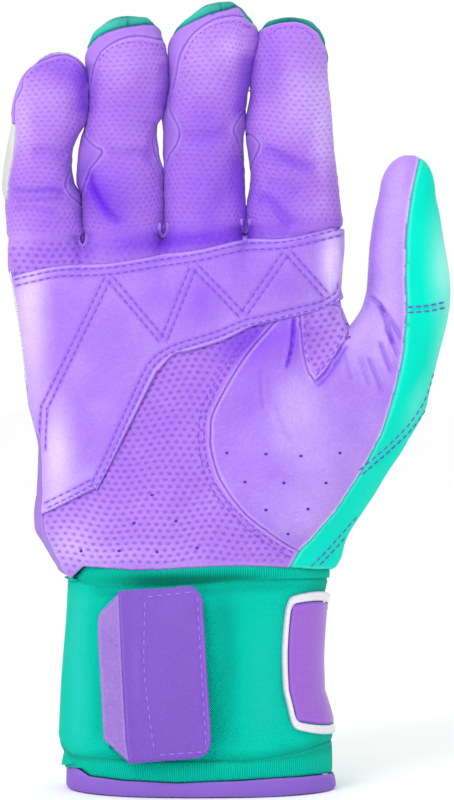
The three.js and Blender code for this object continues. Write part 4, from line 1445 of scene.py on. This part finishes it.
def cloth_finish(name, mid, deep, pale, loops, depth, roughness=0.75, slant=0.5, holes=0.35, spread=0.35):
    """Knitted cloth, fixed to the piece, with painted shade and highlights and a painted highlight along its rolled
    edges. spread tells how cloudy it is
    """
    made = Finish(name, roughness, shine=0.06)
    across, up = made.reading("around"), made.reading("up")
    knit = made.group("knit", Across=across, Up=up, Columns=loops[0], Rows=loops[1], Slant=slant)
    _, colour = toned(made, spread, mid, deep, pale)
    colour = made.mixed(made.maths("MULTIPLY", knit["Holes"], holes), colour, deep)
    # A painted highlight along the rolled edges
    colour = made.mixed(made.maths("MULTIPLY", made.reading("rim"), 0.2), colour, pale)
    made.give("Base Color", made.mixed(made.maths("MULTIPLY", made.reading("line"), 0.6), colour, deep))
    made.bump(knit["Height"], depth * MM)
    return made.material


def thread_finish(name, colour):
    made = Finish(name, 0.6)
    cloud = made.group("mottle", Vector=made.place, Scale=900.0)["Cloud"]
    darker = (*(value * 0.75 for value in colour[:3]), 1.0)
    made.give("Base Color", made.mixed(cloud, colour, darker))
    return made.material


def colour_of(entry):
    """A linear colour from a setting's name or from screen values"""
    return getattr(bpy.context.scene.batting_glove, entry) if isinstance(entry, str) else rgb(*entry)


def prepare_finishes():
    GROUPS.update(grain=leather_grain(), knit=knit_loops(), mottle=mottling(), dimples=oval_dimples())
    for finish, (_, name, *colours, extras) in LEATHERS.items():
        FINISHES[finish] = leather_finish(name, *map(colour_of, colours), **extras)
    for finish, (_, name, *colours, loops, depth, extras) in CLOTHS.items():
        FINISHES[finish] = cloth_finish(name, *map(colour_of, colours), loops, depth, **extras)
    for finish, (_, name, colour) in THREADS.items():
        FINISHES[finish] = thread_finish(name, rgb(*colour))


# Stitch lines, in the photograph's pixels


def beside(places, offset):
    """The line beside a traced one, at an even distance in pixels"""
    points = np.array(places, float)
    steps = np.diff(points, axis=0)
    across = np.stack([-steps[:, 1], steps[:, 0]], axis=1) / np.hypot(*steps.T)[:, None]
    corners = np.vstack([across[:1], across[:-1] + across[1:], across[-1:]])
    parts = np.array([1, *([2] * (len(points) - 2)), 1])
    corners /= (np.maximum((corners**2).sum(axis=1), 0.6) / parts)[:, None]
    return (points + offset * corners).tolist()


def twin(places, gap=6.4):
    return [beside(places, -gap / 2), beside(places, gap / 2)]


OVERLAY_STITCHES = [
    *twin([(14, 283), (30, 279), (62, 273), (109, 271), (159, 263), (200, 257), (245, 247), (287, 244.5), (341, 232)]),
    *twin([
        (341, 284), (337, 295), (321, 304.5), (297, 310.5), (264, 318.5), (250, 321.5), (240, 325), (220, 333.5),
        (203, 339), (182, 345.5), (167, 352), (155, 361), (142, 382), (99, 475), (89, 484), (45, 506),
    ], 5.6),
    *twin([(108, 278), (50, 396), (44, 410), (42, 450)]),
    *twin([(110, 278), (162, 340)]),
    *twin([(164, 340), (193, 268)]),
    *twin([(196, 267), (242, 315)]),
    *twin([(244, 314), (286, 253)]),
    *twin([(289, 253), (326, 295)]),
]
THENAR_STITCHES = twin(
    [
        (260, 329), (240.5, 347), (218.5, 381), (205, 408), (201.3, 432), (203, 455), (210, 480), (229, 507),
        (255, 531.5), (277, 547), (293, 555.5),
    ], 5.4
)
WEDGE_STITCHES = [[(315, 377), (326, 364), (336, 349), (343, 334)], [(304, 322), (304.5, 345), (309, 364)]]
THUMB_STITCHES = twin([(407, 310), (430, 308), (453, 303)], 5.6)
OUTER_STITCHES = [
    *twin([(436, 373), (427, 401), (410, 427), (387, 450), (360, 473)], 5.0),
    *twin([(359, 518), (343, 536), (329, 552), (312, 569)], 5.0),
]
FINGER_STITCHES = {
    "pinky": [(18, 96), (24, 82), (35, 70), (52, 62), (66, 60), (78, 66)],
    "ring": [(98, 62), (108, 50), (122, 44), (138, 42), (156, 45), (164, 50)],
    "middle": [(184, 60), (192, 42), (206, 29), (222, 23), (238, 22), (252, 29)],
    "index": [(268, 36), (278, 29), (290, 26.5), (302, 28), (314, 37)],
}
CROTCHES = [(82.5, 242), (163.5, 232), (245.5, 228)]
TAB_STITCHES = [
    [(146, 597), (192, 592)], [(197, 595), (206, 747)], [(204, 752), (158, 755)],
    [(145, 600), (144.5, 672), (154, 750)],
]
PERFORATIONS = [
    (227, 453), (266, 454), (301, 456), (340, 453), (245, 482), (284, 483), (326, 483), (266, 510), (308, 509),
    (288, 534),
]
PALM_HOLES = [(152, 495), (134, 523), (176, 521), (81, 551), (119, 551), (157, 552), (197, 548)]

# Pitch and length in pixels of the stitches on the tab, the fingertips and round the crotches
TAB_PITCH = (9.0, 6.0)
TIP_PITCH = (5.6, 3.6)
CROTCH_PITCH = (4.6, 3.0)

# Half the width, and the arms' length, of each crotch's leather edge and of the stitches round it
CROTCH_EDGE = (4.4, 9)
CROTCH_SEAM = (8, 7)


def tree_of(names):
    """A search tree over the faces of some finished pieces"""
    points = []
    faces = []
    for name in names:
        mesh = bpy.data.objects[name].data
        start = len(points)
        points.extend(vert.co.copy() for vert in mesh.vertices)
        faces.extend(tuple(start + i for i in face.vertices) for face in mesh.polygons)
    return BVHTree.FromPolygons(points, faces)


def bead(work, place, along, normal, sizes):
    """A small rounded bead whose long side lies along a direction"""
    side = normal.cross(along).normalized()
    up = along.cross(side).normalized()
    turn = Matrix((side, up, along.normalized())).transposed().to_4x4()
    matrix = Matrix.Translation(place) @ turn @ Matrix.Diagonal((sizes[1], sizes[2], sizes[0], 1))
    bmesh.ops.create_uvsphere(work, u_segments=8, v_segments=5, radius=1, matrix=matrix)


def sew(name, lines, pitch, length, width, finish, body, slot=None):
    """Small rounded stitches laid on the surface that the camera sees along each line"""
    tree = MADE["front"]
    work = bmesh.new()
    for line in lines:
        fine = curve_through(line, 1.0)
        reach = np.concatenate([[0], np.cumsum(np.hypot(*np.diff(fine, axis=0).T))])
        count = int(reach[-1] / pitch)
        for k in range(count):
            middle = (k + 0.5) * reach[-1] / count
            hits = []
            for far in (middle - length / 2, middle, middle + length / 2):
                spot = (np.interp(far, reach, axis) for axis in fine.T)
                hits.append(tree.ray_cast(*sight(*spot)))
            if any(hit[0] is None for hit in hits):
                continue
            along = hits[2][0] - hits[0][0]
            if 0.2 * MM < along.length < 1.8 * length * PIXEL:
                sizes = (along.length / 2, width * MM / 2, width * MM * 0.42)
                bead(work, hits[1][0] + hits[1][1] * 0.06 * MM, along, hits[1][1], sizes)
    dress(mesh_object(name, work), finish, [], body, root_height(body))


def around_crotch(middle, half, arm):
    """A line like the letter U round the bottom of the gap between two fingers"""
    column, row = middle
    places = [(-1, -arm), (-1, -arm / 2), (-0.85, 0), (0, half), (0.85, 0), (1, -arm / 2), (1, -arm)]
    return [(column + across * half, row + down) for across, down in places]


def pipe(name, lines, width, height):
    """Narrow rounded strips of leather laid along each line, on the surface that the camera sees"""
    tree = MADE["front"]
    work = bmesh.new()
    for line in lines:
        fine = curve_through(line, 1.5)
        hits = [tree.ray_cast(*sight(column, row))[0] for column, row in fine]
        found = [i for i, hit in enumerate(hits) if hit is not None]
        depth = np.interp(range(len(hits)), found, [hits[i].y for i in found])
        depth = np.convolve(np.pad(depth, 2, "edge"), np.full(5, 0.2), "valid")
        places = []
        for (column, row), y in zip(fine, depth):
            eye, aim = sight(column, row)
            places.append(eye + aim * ((y - eye.y) / aim.y))
        edges = last = None
        for i, place in enumerate(places):
            along = (places[min(i + 1, len(places) - 1)] - places[max(i - 1, 0)]).normalized()
            out = Vector((0, -1, 0))
            side = along.cross(out).normalized()
            turn = Matrix((side, out, along)).transposed().to_4x4()
            matrix = Matrix.Translation(place) @ turn @ Matrix.Diagonal((width / 2, height, 1, 1))
            if edges is None:
                ring = bmesh.ops.create_circle(work, cap_ends=True, segments=10, radius=1, matrix=matrix)["verts"]
                edges = list({edge for vert in ring for edge in vert.link_edges})
            else:
                made = bmesh.ops.extrude_edge_only(work, edges=edges)["geom"]
                edges = [item for item in made if isinstance(item, bmesh.types.BMEdge)]
                ring = [item for item in made if isinstance(item, bmesh.types.BMVert)]
                edges = [edge for edge in edges if all(vert in ring for vert in edge.verts)]
                bmesh.ops.transform(work, matrix=matrix @ last.inverted(), verts=ring)
            last = matrix
        bmesh.ops.holes_fill(work, edges=edges)
    bmesh.ops.recalc_face_normals(work, faces=work.faces)
    dress(mesh_object(name, work), "smooth", [], "hand")


def webs(name, places, depth=1.5 * MM):
    """Small webs of leather that close the gap between two fingers at its bottom"""
    work = bmesh.new()
    for column, row in places:
        eye, aim = sight(column, row - 3)
        place = eye + aim * ((depth - eye.y) / aim.y)
        bead(work, place, Vector((0, 0, 1)), Vector((0, -1, 0)), (2.4 * MM, 1.6 * MM, 3.5 * MM))
    dress(mesh_object(name, work), "smooth", [], "hand")


def punch(name, places, size=0.52 * MM):
    """Round holes through the leather, as dark discs sunk in it: painted shade that stands for the dark inside of each
    hole
    """
    work = bmesh.new()
    for column, row in places:
        place, normal, _, _ = MADE["front"].ray_cast(*sight(column, row))
        if place is not None:
            along = normal.cross(Vector((0, 0, 1)))
            bead(work, place - normal * 0.02 * MM, along, normal, (size * 1.15, size, 0.1 * MM))
    dress(mesh_object(name, work), "hole", [], "hand")


# Cuff

# Rows of the cuff, and how many pixels its left and right sides move there to their traced outlines
CUFF_LEFTS = [(566, 1), (590, 0), (650, -2), (740, -3), (752, 0), (764, 3), (776, 7), (790, 9)]
CUFF_RIGHTS = [
    (566, 1), (590, 2), (610, -3), (640, -5), (690, -9), (706, -5), (728, -1), (746, 0), (770, -2), (790, -3),
]

# Traced edges across the cuff: columns and rows
BAND_TOP = [(60, 576), (68, 577), (99, 585.6), (160, 586.5), (202, 584), (238, 580.7), (331, 577)]
BAND_FOOT = [(60, 750), (73, 757), (99, 760), (159, 762), (248, 762), (277, 757.6), (303, 753), (335, 741)]
HEM_TOP = [
    (58, 750), (68, 751), (73, 764), (89, 775), (123, 779.4), (178, 782), (238, 779.4), (297, 776), (335, 772),
]


def cuff_as_seen(place):
    """Shifts the cuff's front as the rest and its sides to their outline, while the hem's foot stays on the floor"""
    seen = as_seen(place)
    top = np.full(len(place), height_of(HEM_TOP_ROW))
    seen_top = as_seen(np.stack([place[:, 0], place[:, 1], top], axis=1))[:, 2]
    seen[:, 2] = np.where(place[:, 2] < top, place[:, 2] * seen_top / top, seen[:, 2])
    column, row = to_photo(seen)
    side = np.clip((column - 197) / 130, -1, 1)
    seen[:, 0] += side**2 * np.where(side < 0, read(CUFF_LEFTS, row), read(CUFF_RIGHTS, row)) * PIXEL
    return seen


def bring_edges(relief, top=None, foot=None, over=0):
    """Brings a ring's upper and lower edge to traced rows in front, and a little over, in pixels, all round"""
    high, low = relief.row.min(), relief.row.max()
    front = 1 - smoothed(relief.place[:, 1], 4 * MM, 14 * MM)
    middle = (high + low) / 2
    for table, end, sign in ((top, high, -1), (foot, low, 1)):
        if table:
            move = front * (read(table, relief.column) - end) + sign * over
            relief.place[:, 2] -= smoothed((relief.row - middle) / (end - middle), 0, 1) * move * PIXEL


def way_round(place):
    """How far round the cuff each point lies, measured from the middle of its front"""
    half = (place.max(axis=0) - place.min(axis=0)) / 2
    middle = place.min(axis=0) + half
    angle = np.arctan2((place[:, 0] - middle[0]) / half[0], -(place[:, 1] - middle[1]) / half[1])
    grid = np.linspace(-math.pi, math.pi, 361)
    ring = np.stack([half[0] * np.sin(grid), -half[1] * np.cos(grid)])
    lengths = np.concatenate([[0], np.cumsum(np.hypot(*np.diff(ring, axis=1)))])
    return np.interp(angle, grid, lengths)


def cuff_piece(name, node, finish, wall, body="hand", shape=None, levels=3, ring=None):
    """A fine copy of one of the cuff's pieces. ring tells how far the faces of a ring must look outwards"""
    work = merged_copy(node)
    if ring:
        keep_ring(work, node, ring)
    else:
        keep_outer(work, wall)
    to_quads(work)
    piece = mesh_object(name, work)
    subdivide(piece, levels)
    place = vectors(piece.data.vertices, "co")
    put_points(piece.data, cuff_as_seen(place))
    relief = border_relief(piece)
    relief.row = FOOT_ROW - place[:, 2] / PIXEL
    if shape:
        shape(relief)
    settle_relief(piece, relief)
    if ring:
        store(piece, "around", way_round(place))
    thicken(piece, wall)
    dress(piece, finish, [node], body)


# Traced folds and rises of the cuff, as those of the hand, with their painted shade and highlights. A fold's last
# number tells how far its ends fade
BAND_FOLDS = [
    ([(222, 592), (226, 660), (222, 720), (224, 752)], 9.0, 0.35, 0.35),
    ([(96, 596), (92, 650), (98, 700), (96, 750)], 6.0, 0.3, 0.2),
]
BAND_RISES = [
    ((80, 660), (12, 120), 0.2, -0.7, 0),
    ((262, 690), (16, 70), 0.3, -0.3, 0),
    ((300, 620), (20, 60), 0.0, -0.2, 0),
    ((190, 584), (70, 6), 0.6, 0.0, 0),
]
# Painted shadow where the strap band's top edge stands proud over the binding
BINDING_RISES = [((180, 580), (74, 7), 0.0, 1.1, 0), ((240, 577), (34, 4), 0.0, 0.3, 0)]
TAB_FOLDS = [
    ([(126, 592), (127, 670), (130, 762)], 5.0, 0.2, 0.25, 0),
    ([(134, 640), (136, 700)], 3.0, 0.15, -0.2),
]
TAB_RISES = [((172, 670), (22, 66), 0.5, 0.0, 0)]


def shape_band(relief):
    relief.roll_seams(0.9 * MM, 0.6 * MM)
    relief.uneven(0.2 * MM, 70, 71)
    relief.crease_all(BAND_FOLDS)
    relief.swell_all(BAND_RISES)
    # Painted shade below the band's upper edge and above its lower edge
    relief.tone += 0.4 * bell(relief.row - 594, 6) + 0.3 * bell(relief.row - 752, 5)
    bring_edges(relief, BAND_TOP, BAND_FOOT)


def shape_top_binding(relief):
    """A soft binding behind the strap band, with painted shadow in the fold where the band's edge stands proud"""
    relief.raised -= 1.1 * MM
    relief.swell_all(BINDING_RISES)
    # Painted shadow under the lower edge of the hand's leather
    relief.tone += 0.3 * smoothed(569 - relief.row, 0, 3)
    bring_edges(relief, HAND_FEET, BAND_TOP, 4)


def shape_foot_binding(relief):
    relief.raised -= 0.9 * MM
    # Painted shadow under the strap band's lower edge, and darker towards the hem
    relief.tone += 0.5 * bell(relief.row - 761, 2) + 0.3 * smoothed(relief.row, 774, 778)
    bring_edges(relief, BAND_FOOT, HEM_TOP, 3)


def shape_hem(relief):
    relief.roll_seams(0.8 * MM, 0.5 * MM)
    relief.uneven(0.12 * MM, 40, 73)
    bring_edges(relief, HEM_TOP)


def shape_sleeve(relief):
    relief.raised -= 2.2 * MM


def shape_flat(relief):
    relief.roll_seams(0.5 * MM, 0.3 * MM)


def shape_lip(relief):
    """The lip, drawn in to the fold line that it shares with the tab"""
    shape_flat(relief)
    relief.place[:, 0] += (3.6 + 3.2 * smoothed(-relief.column, -124, -98)) * PIXEL


def shape_tab(relief):
    shape_flat(relief)
    relief.groove(TAB_STITCHES, 1.8, 0.2 * MM)
    relief.swell_all(TAB_RISES)
    relief.crease_all(TAB_FOLDS)


# Settings, operators and panel


class GloveSettings(bpy.types.PropertyGroup):
    leather: bpy.props.FloatVectorProperty(
        name="Leather", description="Colour of the dimpled leather", subtype="COLOR", size=4, min=0, max=1,
        default=rgb(162, 113, 214),
    )
    # The colour that painted shade in the leather's folds reaches
    leather_deep: bpy.props.FloatVectorProperty(
        name="Leather folds", description="Colour deep in the leather's folds", subtype="COLOR", size=4, min=0, max=1,
        default=rgb(98, 26, 206),
    )
    overlay: bpy.props.FloatVectorProperty(
        name="Smooth leather", description="Colour of the smooth leather", subtype="COLOR", size=4, min=0, max=1,
        default=rgb(155, 112, 215),
    )
    mint: bpy.props.FloatVectorProperty(
        name="Stretch cloth", description="Colour of the stretch cloth", subtype="COLOR", size=4, min=0, max=1,
        default=rgb(0, 218, 192),
    )
    stitch_pitch: bpy.props.FloatProperty(
        name="Stitch pitch", description="Distance between stitches in traced pixels", default=7.6, min=3, max=20
    )
    stitch_width: bpy.props.FloatProperty(
        name="Thread width", description="Width of a stitch in millimetres", default=0.44, min=0.2, max=1.5
    )


class GLOVE_OT_shell(bpy.types.Operator):
    """The sewn shell of the hand, the fingers and the thumb, and its relief"""

    bl_idname = "glove.shell"
    bl_label = "Sewn shell"

    def execute(self, context):
        MADE["skin"] = Skin()
        MADE["relief"] = shape_skin(MADE["skin"])
        pattern_skin(MADE["skin"], MADE["relief"])
        return {"FINISHED"}


class GLOVE_OT_fingers(bpy.types.Operator):
    """Leather fronts, fourchettes and stretch backs of the four fingers"""

    bl_idname = "glove.fingers"
    bl_label = "Fingers"

    def execute(self, context):
        MADE["skin"].make_panels(list(FINGER_ROOTS), MADE["relief"])
        return {"FINISHED"}


class GLOVE_OT_thumb(bpy.types.Operator):
    """Leather front and stretch back of the thumb"""

    bl_idname = "glove.thumb"
    bl_label = "Thumb"

    def execute(self, context):
        MADE["skin"].make_panels(["thumb"], MADE["relief"])
        return {"FINISHED"}


class GLOVE_OT_hand(bpy.types.Operator):
    """Palm, web wedge, thenar, side, knuckle and back panels, with the overlay sewn on the palm"""

    bl_idname = "glove.hand"
    bl_label = "Hand"

    def execute(self, context):
        MADE["skin"].make_panels(["hand"], MADE["relief"])
        overlay_leather(MADE["skin"])
        return {"FINISHED"}


class GLOVE_OT_cuff(bpy.types.Operator):
    """Strap band, ribbed bindings, hem and inner sleeve"""

    bl_idname = "glove.cuff"
    bl_label = "Cuff"

    def execute(self, context):
        rings = [
            ("strap_mesh_band", "strap_band", "mesh", CUFF_WALL, shape_band, 3, 0.45),
            ("top_ribbed_binding", "cuff_top_binding", "ribbed", CUFF_WALL, shape_top_binding, 3, 0.45),
            ("foot_ribbed_binding", "cuff_bottom_binding", "ribbed", CUFF_WALL, shape_foot_binding, 3, 0.45),
            ("hem_band", "cuff_hem", "hem", CUFF_WALL, shape_hem, 3, 0.25),
            ("inner_sleeve", "cuff_sleeve", "mint", 1.1 * MM, shape_sleeve, 1, 0.45),
        ]
        for name, node, finish, wall, shape, levels, ring in rings:
            cuff_piece(name, node, finish, wall, shape=shape, levels=levels, ring=ring)
        return {"FINISHED"}


class GLOVE_OT_strap(bpy.types.Operator):
    """Tab, pull lip, strap end, its hook and loop tape, and the plain rubber patch"""

    bl_idname = "glove.strap"
    bl_label = "Strap end"

    def execute(self, context):
        cuff_piece("loop_tape", "loop_patch", "loop", 0.6 * MM, levels=1)
        cuff_piece("hook_tape", "hook_patch", "hook", 0.6 * MM, "strap_end", levels=1)
        cuff_piece("strap_end_cloth", "strap_end_band", "mesh", 1.6 * MM, "strap_end", levels=2)
        cuff_piece("tab", "strap_tab", "tab", 1.5 * MM, "strap_end", shape_tab)
        cuff_piece("pull_lip", "tab_pull_lip", "lip", 1.5 * MM, "strap_end", shape_lip)
        cuff_piece("patch_face", "strap_patch", "rubber", 1.1 * MM, shape=shape_flat, levels=2)
        cuff_piece("patch_border", "strap_patch_border", "rubber_white", 0.8 * MM, levels=2)
        return {"FINISHED"}


# What the camera sees of the leather, the thumb's cloth and the tab, where stitches and holes lie
FRONT_PIECES = [
    "palm_leather", "web_wedge", "thenar_leather", "overlay_leather", "thumb_side_stretch", "thumb_stretch_back",
    "thumb_leather", "index_side_leather", "tab", "pull_lip", *(finger + "_leather" for finger in FINGER_ROOTS),
]


class GLOVE_OT_stitches(bpy.types.Operator):
    """Every row of stitches, and the punched holes"""

    bl_idname = "glove.stitches"
    bl_label = "Stitches and holes"

    def execute(self, context):
        glove = context.scene.batting_glove
        pitch, width = glove.stitch_pitch, glove.stitch_width
        MADE["front"] = tree_of(FRONT_PIECES)
        sew("palm_stitches", OVERLAY_STITCHES, pitch, pitch * 0.7, width, "leather_thread", "hand")
        sew("thenar_stitches", THENAR_STITCHES + WEDGE_STITCHES, pitch, pitch * 0.7, width, "leather_thread", "hand")
        sew("outer_stitches", OUTER_STITCHES, pitch, pitch * 0.8, width * 1.5, "mint_thread", "hand")
        sew("thumb_stitches", THUMB_STITCHES, pitch, pitch * 0.8, width * 1.5, "mint_thread", "thumb")
        sew("tab_stitches", TAB_STITCHES, *TAB_PITCH, width, "tab_thread", "strap_end")
        for finger, line in FINGER_STITCHES.items():
            sew(finger + "_stitches", [line], *TIP_PITCH, width * 0.7, "leather_thread", finger, "dimpled_leather")
        pipe("crotch_edges", [around_crotch(middle, *CROTCH_EDGE) for middle in CROTCHES], 1.3 * MM, 0.4 * MM)
        around = [around_crotch(middle, *CROTCH_SEAM) for middle in CROTCHES]
        sew("crotch_stitches", around, *CROTCH_PITCH, width * 0.7, "leather_thread", "hand")
        webs("crotch_webs", CROTCHES)
        punch("thenar_holes", PERFORATIONS)
        punch("palm_holes", PALM_HOLES)
        return {"FINISHED"}


def soft_light(name, place, size, energy, aim=(0, 0, 0.12)):
    data = bpy.data.lights.new(name, "AREA")
    data.shape = "SQUARE"
    data.size = size
    data.energy = energy
    light = bpy.data.objects.new(name, data)
    light.location = place
    light.rotation_euler = (Vector(aim) - Vector(place)).to_track_quat("-Z", "Y").to_euler()
    bpy.context.scene.collection.objects.link(light)


class GLOVE_OT_stage(bpy.types.Operator):
    """Pale floor, soft studio light and the camera"""

    bl_idname = "glove.stage"
    bl_label = "Stage"

    def execute(self, context):
        scene = context.scene
        work = bmesh.new()
        bmesh.ops.create_grid(work, x_segments=1, y_segments=1, size=30)
        floor = mesh_object("floor", work)
        made = Finish("Pale floor", 0.9)
        made.give("Base Color", (0.985, 0.985, 0.985, 1))
        floor.data.materials.append(made.material)
        world = bpy.data.worlds.new("Studio")
        scene.world = world
        world.use_nodes = True
        sky = world.node_tree.nodes["Background"].inputs
        sky["Color"].default_value = (1, 1, 1, 1)
        sky["Strength"].default_value = 1.0
        soft_light("key", (-0.45, -0.85, 0.8), 0.5, 6.0)
        camera = bpy.data.cameras.new("camera")
        camera.lens = camera.sensor_width / 2 / (FRAME_ROWS / 2 * PIXEL / CAMERA_BACK)
        eye = bpy.data.objects.new("camera", camera)
        eye.location = (VIEW_X, -CAMERA_BACK, VIEW_Z)
        eye.rotation_euler = (math.radians(90), 0, 0)
        scene.collection.objects.link(eye)
        scene.camera = eye
        scene.view_settings.view_transform = "Standard"
        return {"FINISHED"}


OPERATORS = [
    GLOVE_OT_stage, GLOVE_OT_shell, GLOVE_OT_fingers, GLOVE_OT_thumb, GLOVE_OT_hand, GLOVE_OT_cuff, GLOVE_OT_strap,
    GLOVE_OT_stitches,
]


class GLOVE_PT_panel(bpy.types.Panel):
    """Lists the glove's settings and building steps"""

    bl_idname = "GLOVE_PT_panel"
    bl_label = "Batting glove"
    bl_space_type = "VIEW_3D"
    bl_region_type = "UI"
    bl_category = "Glove"

    def draw(self, context):
        glove = context.scene.batting_glove
        for name in GloveSettings.__annotations__:
            self.layout.prop(glove, name)
        for operator in OPERATORS:
            self.layout.operator(operator.bl_idname)


def register():
    for cls in (GloveSettings, *OPERATORS, GLOVE_PT_panel):
        bpy.utils.register_class(cls)
    bpy.types.Scene.batting_glove = bpy.props.PointerProperty(type=GloveSettings)


def unregister():
    del bpy.types.Scene.batting_glove
    for cls in (GLOVE_PT_panel, *reversed(OPERATORS), GloveSettings):
        bpy.utils.unregister_class(cls)


def main():
    register()
    prepare_finishes()
    for operator in OPERATORS:
        group, name = operator.bl_idname.split(".")
        getattr(getattr(bpy.ops, group), name)()


if __name__ == "__main__":
    main()
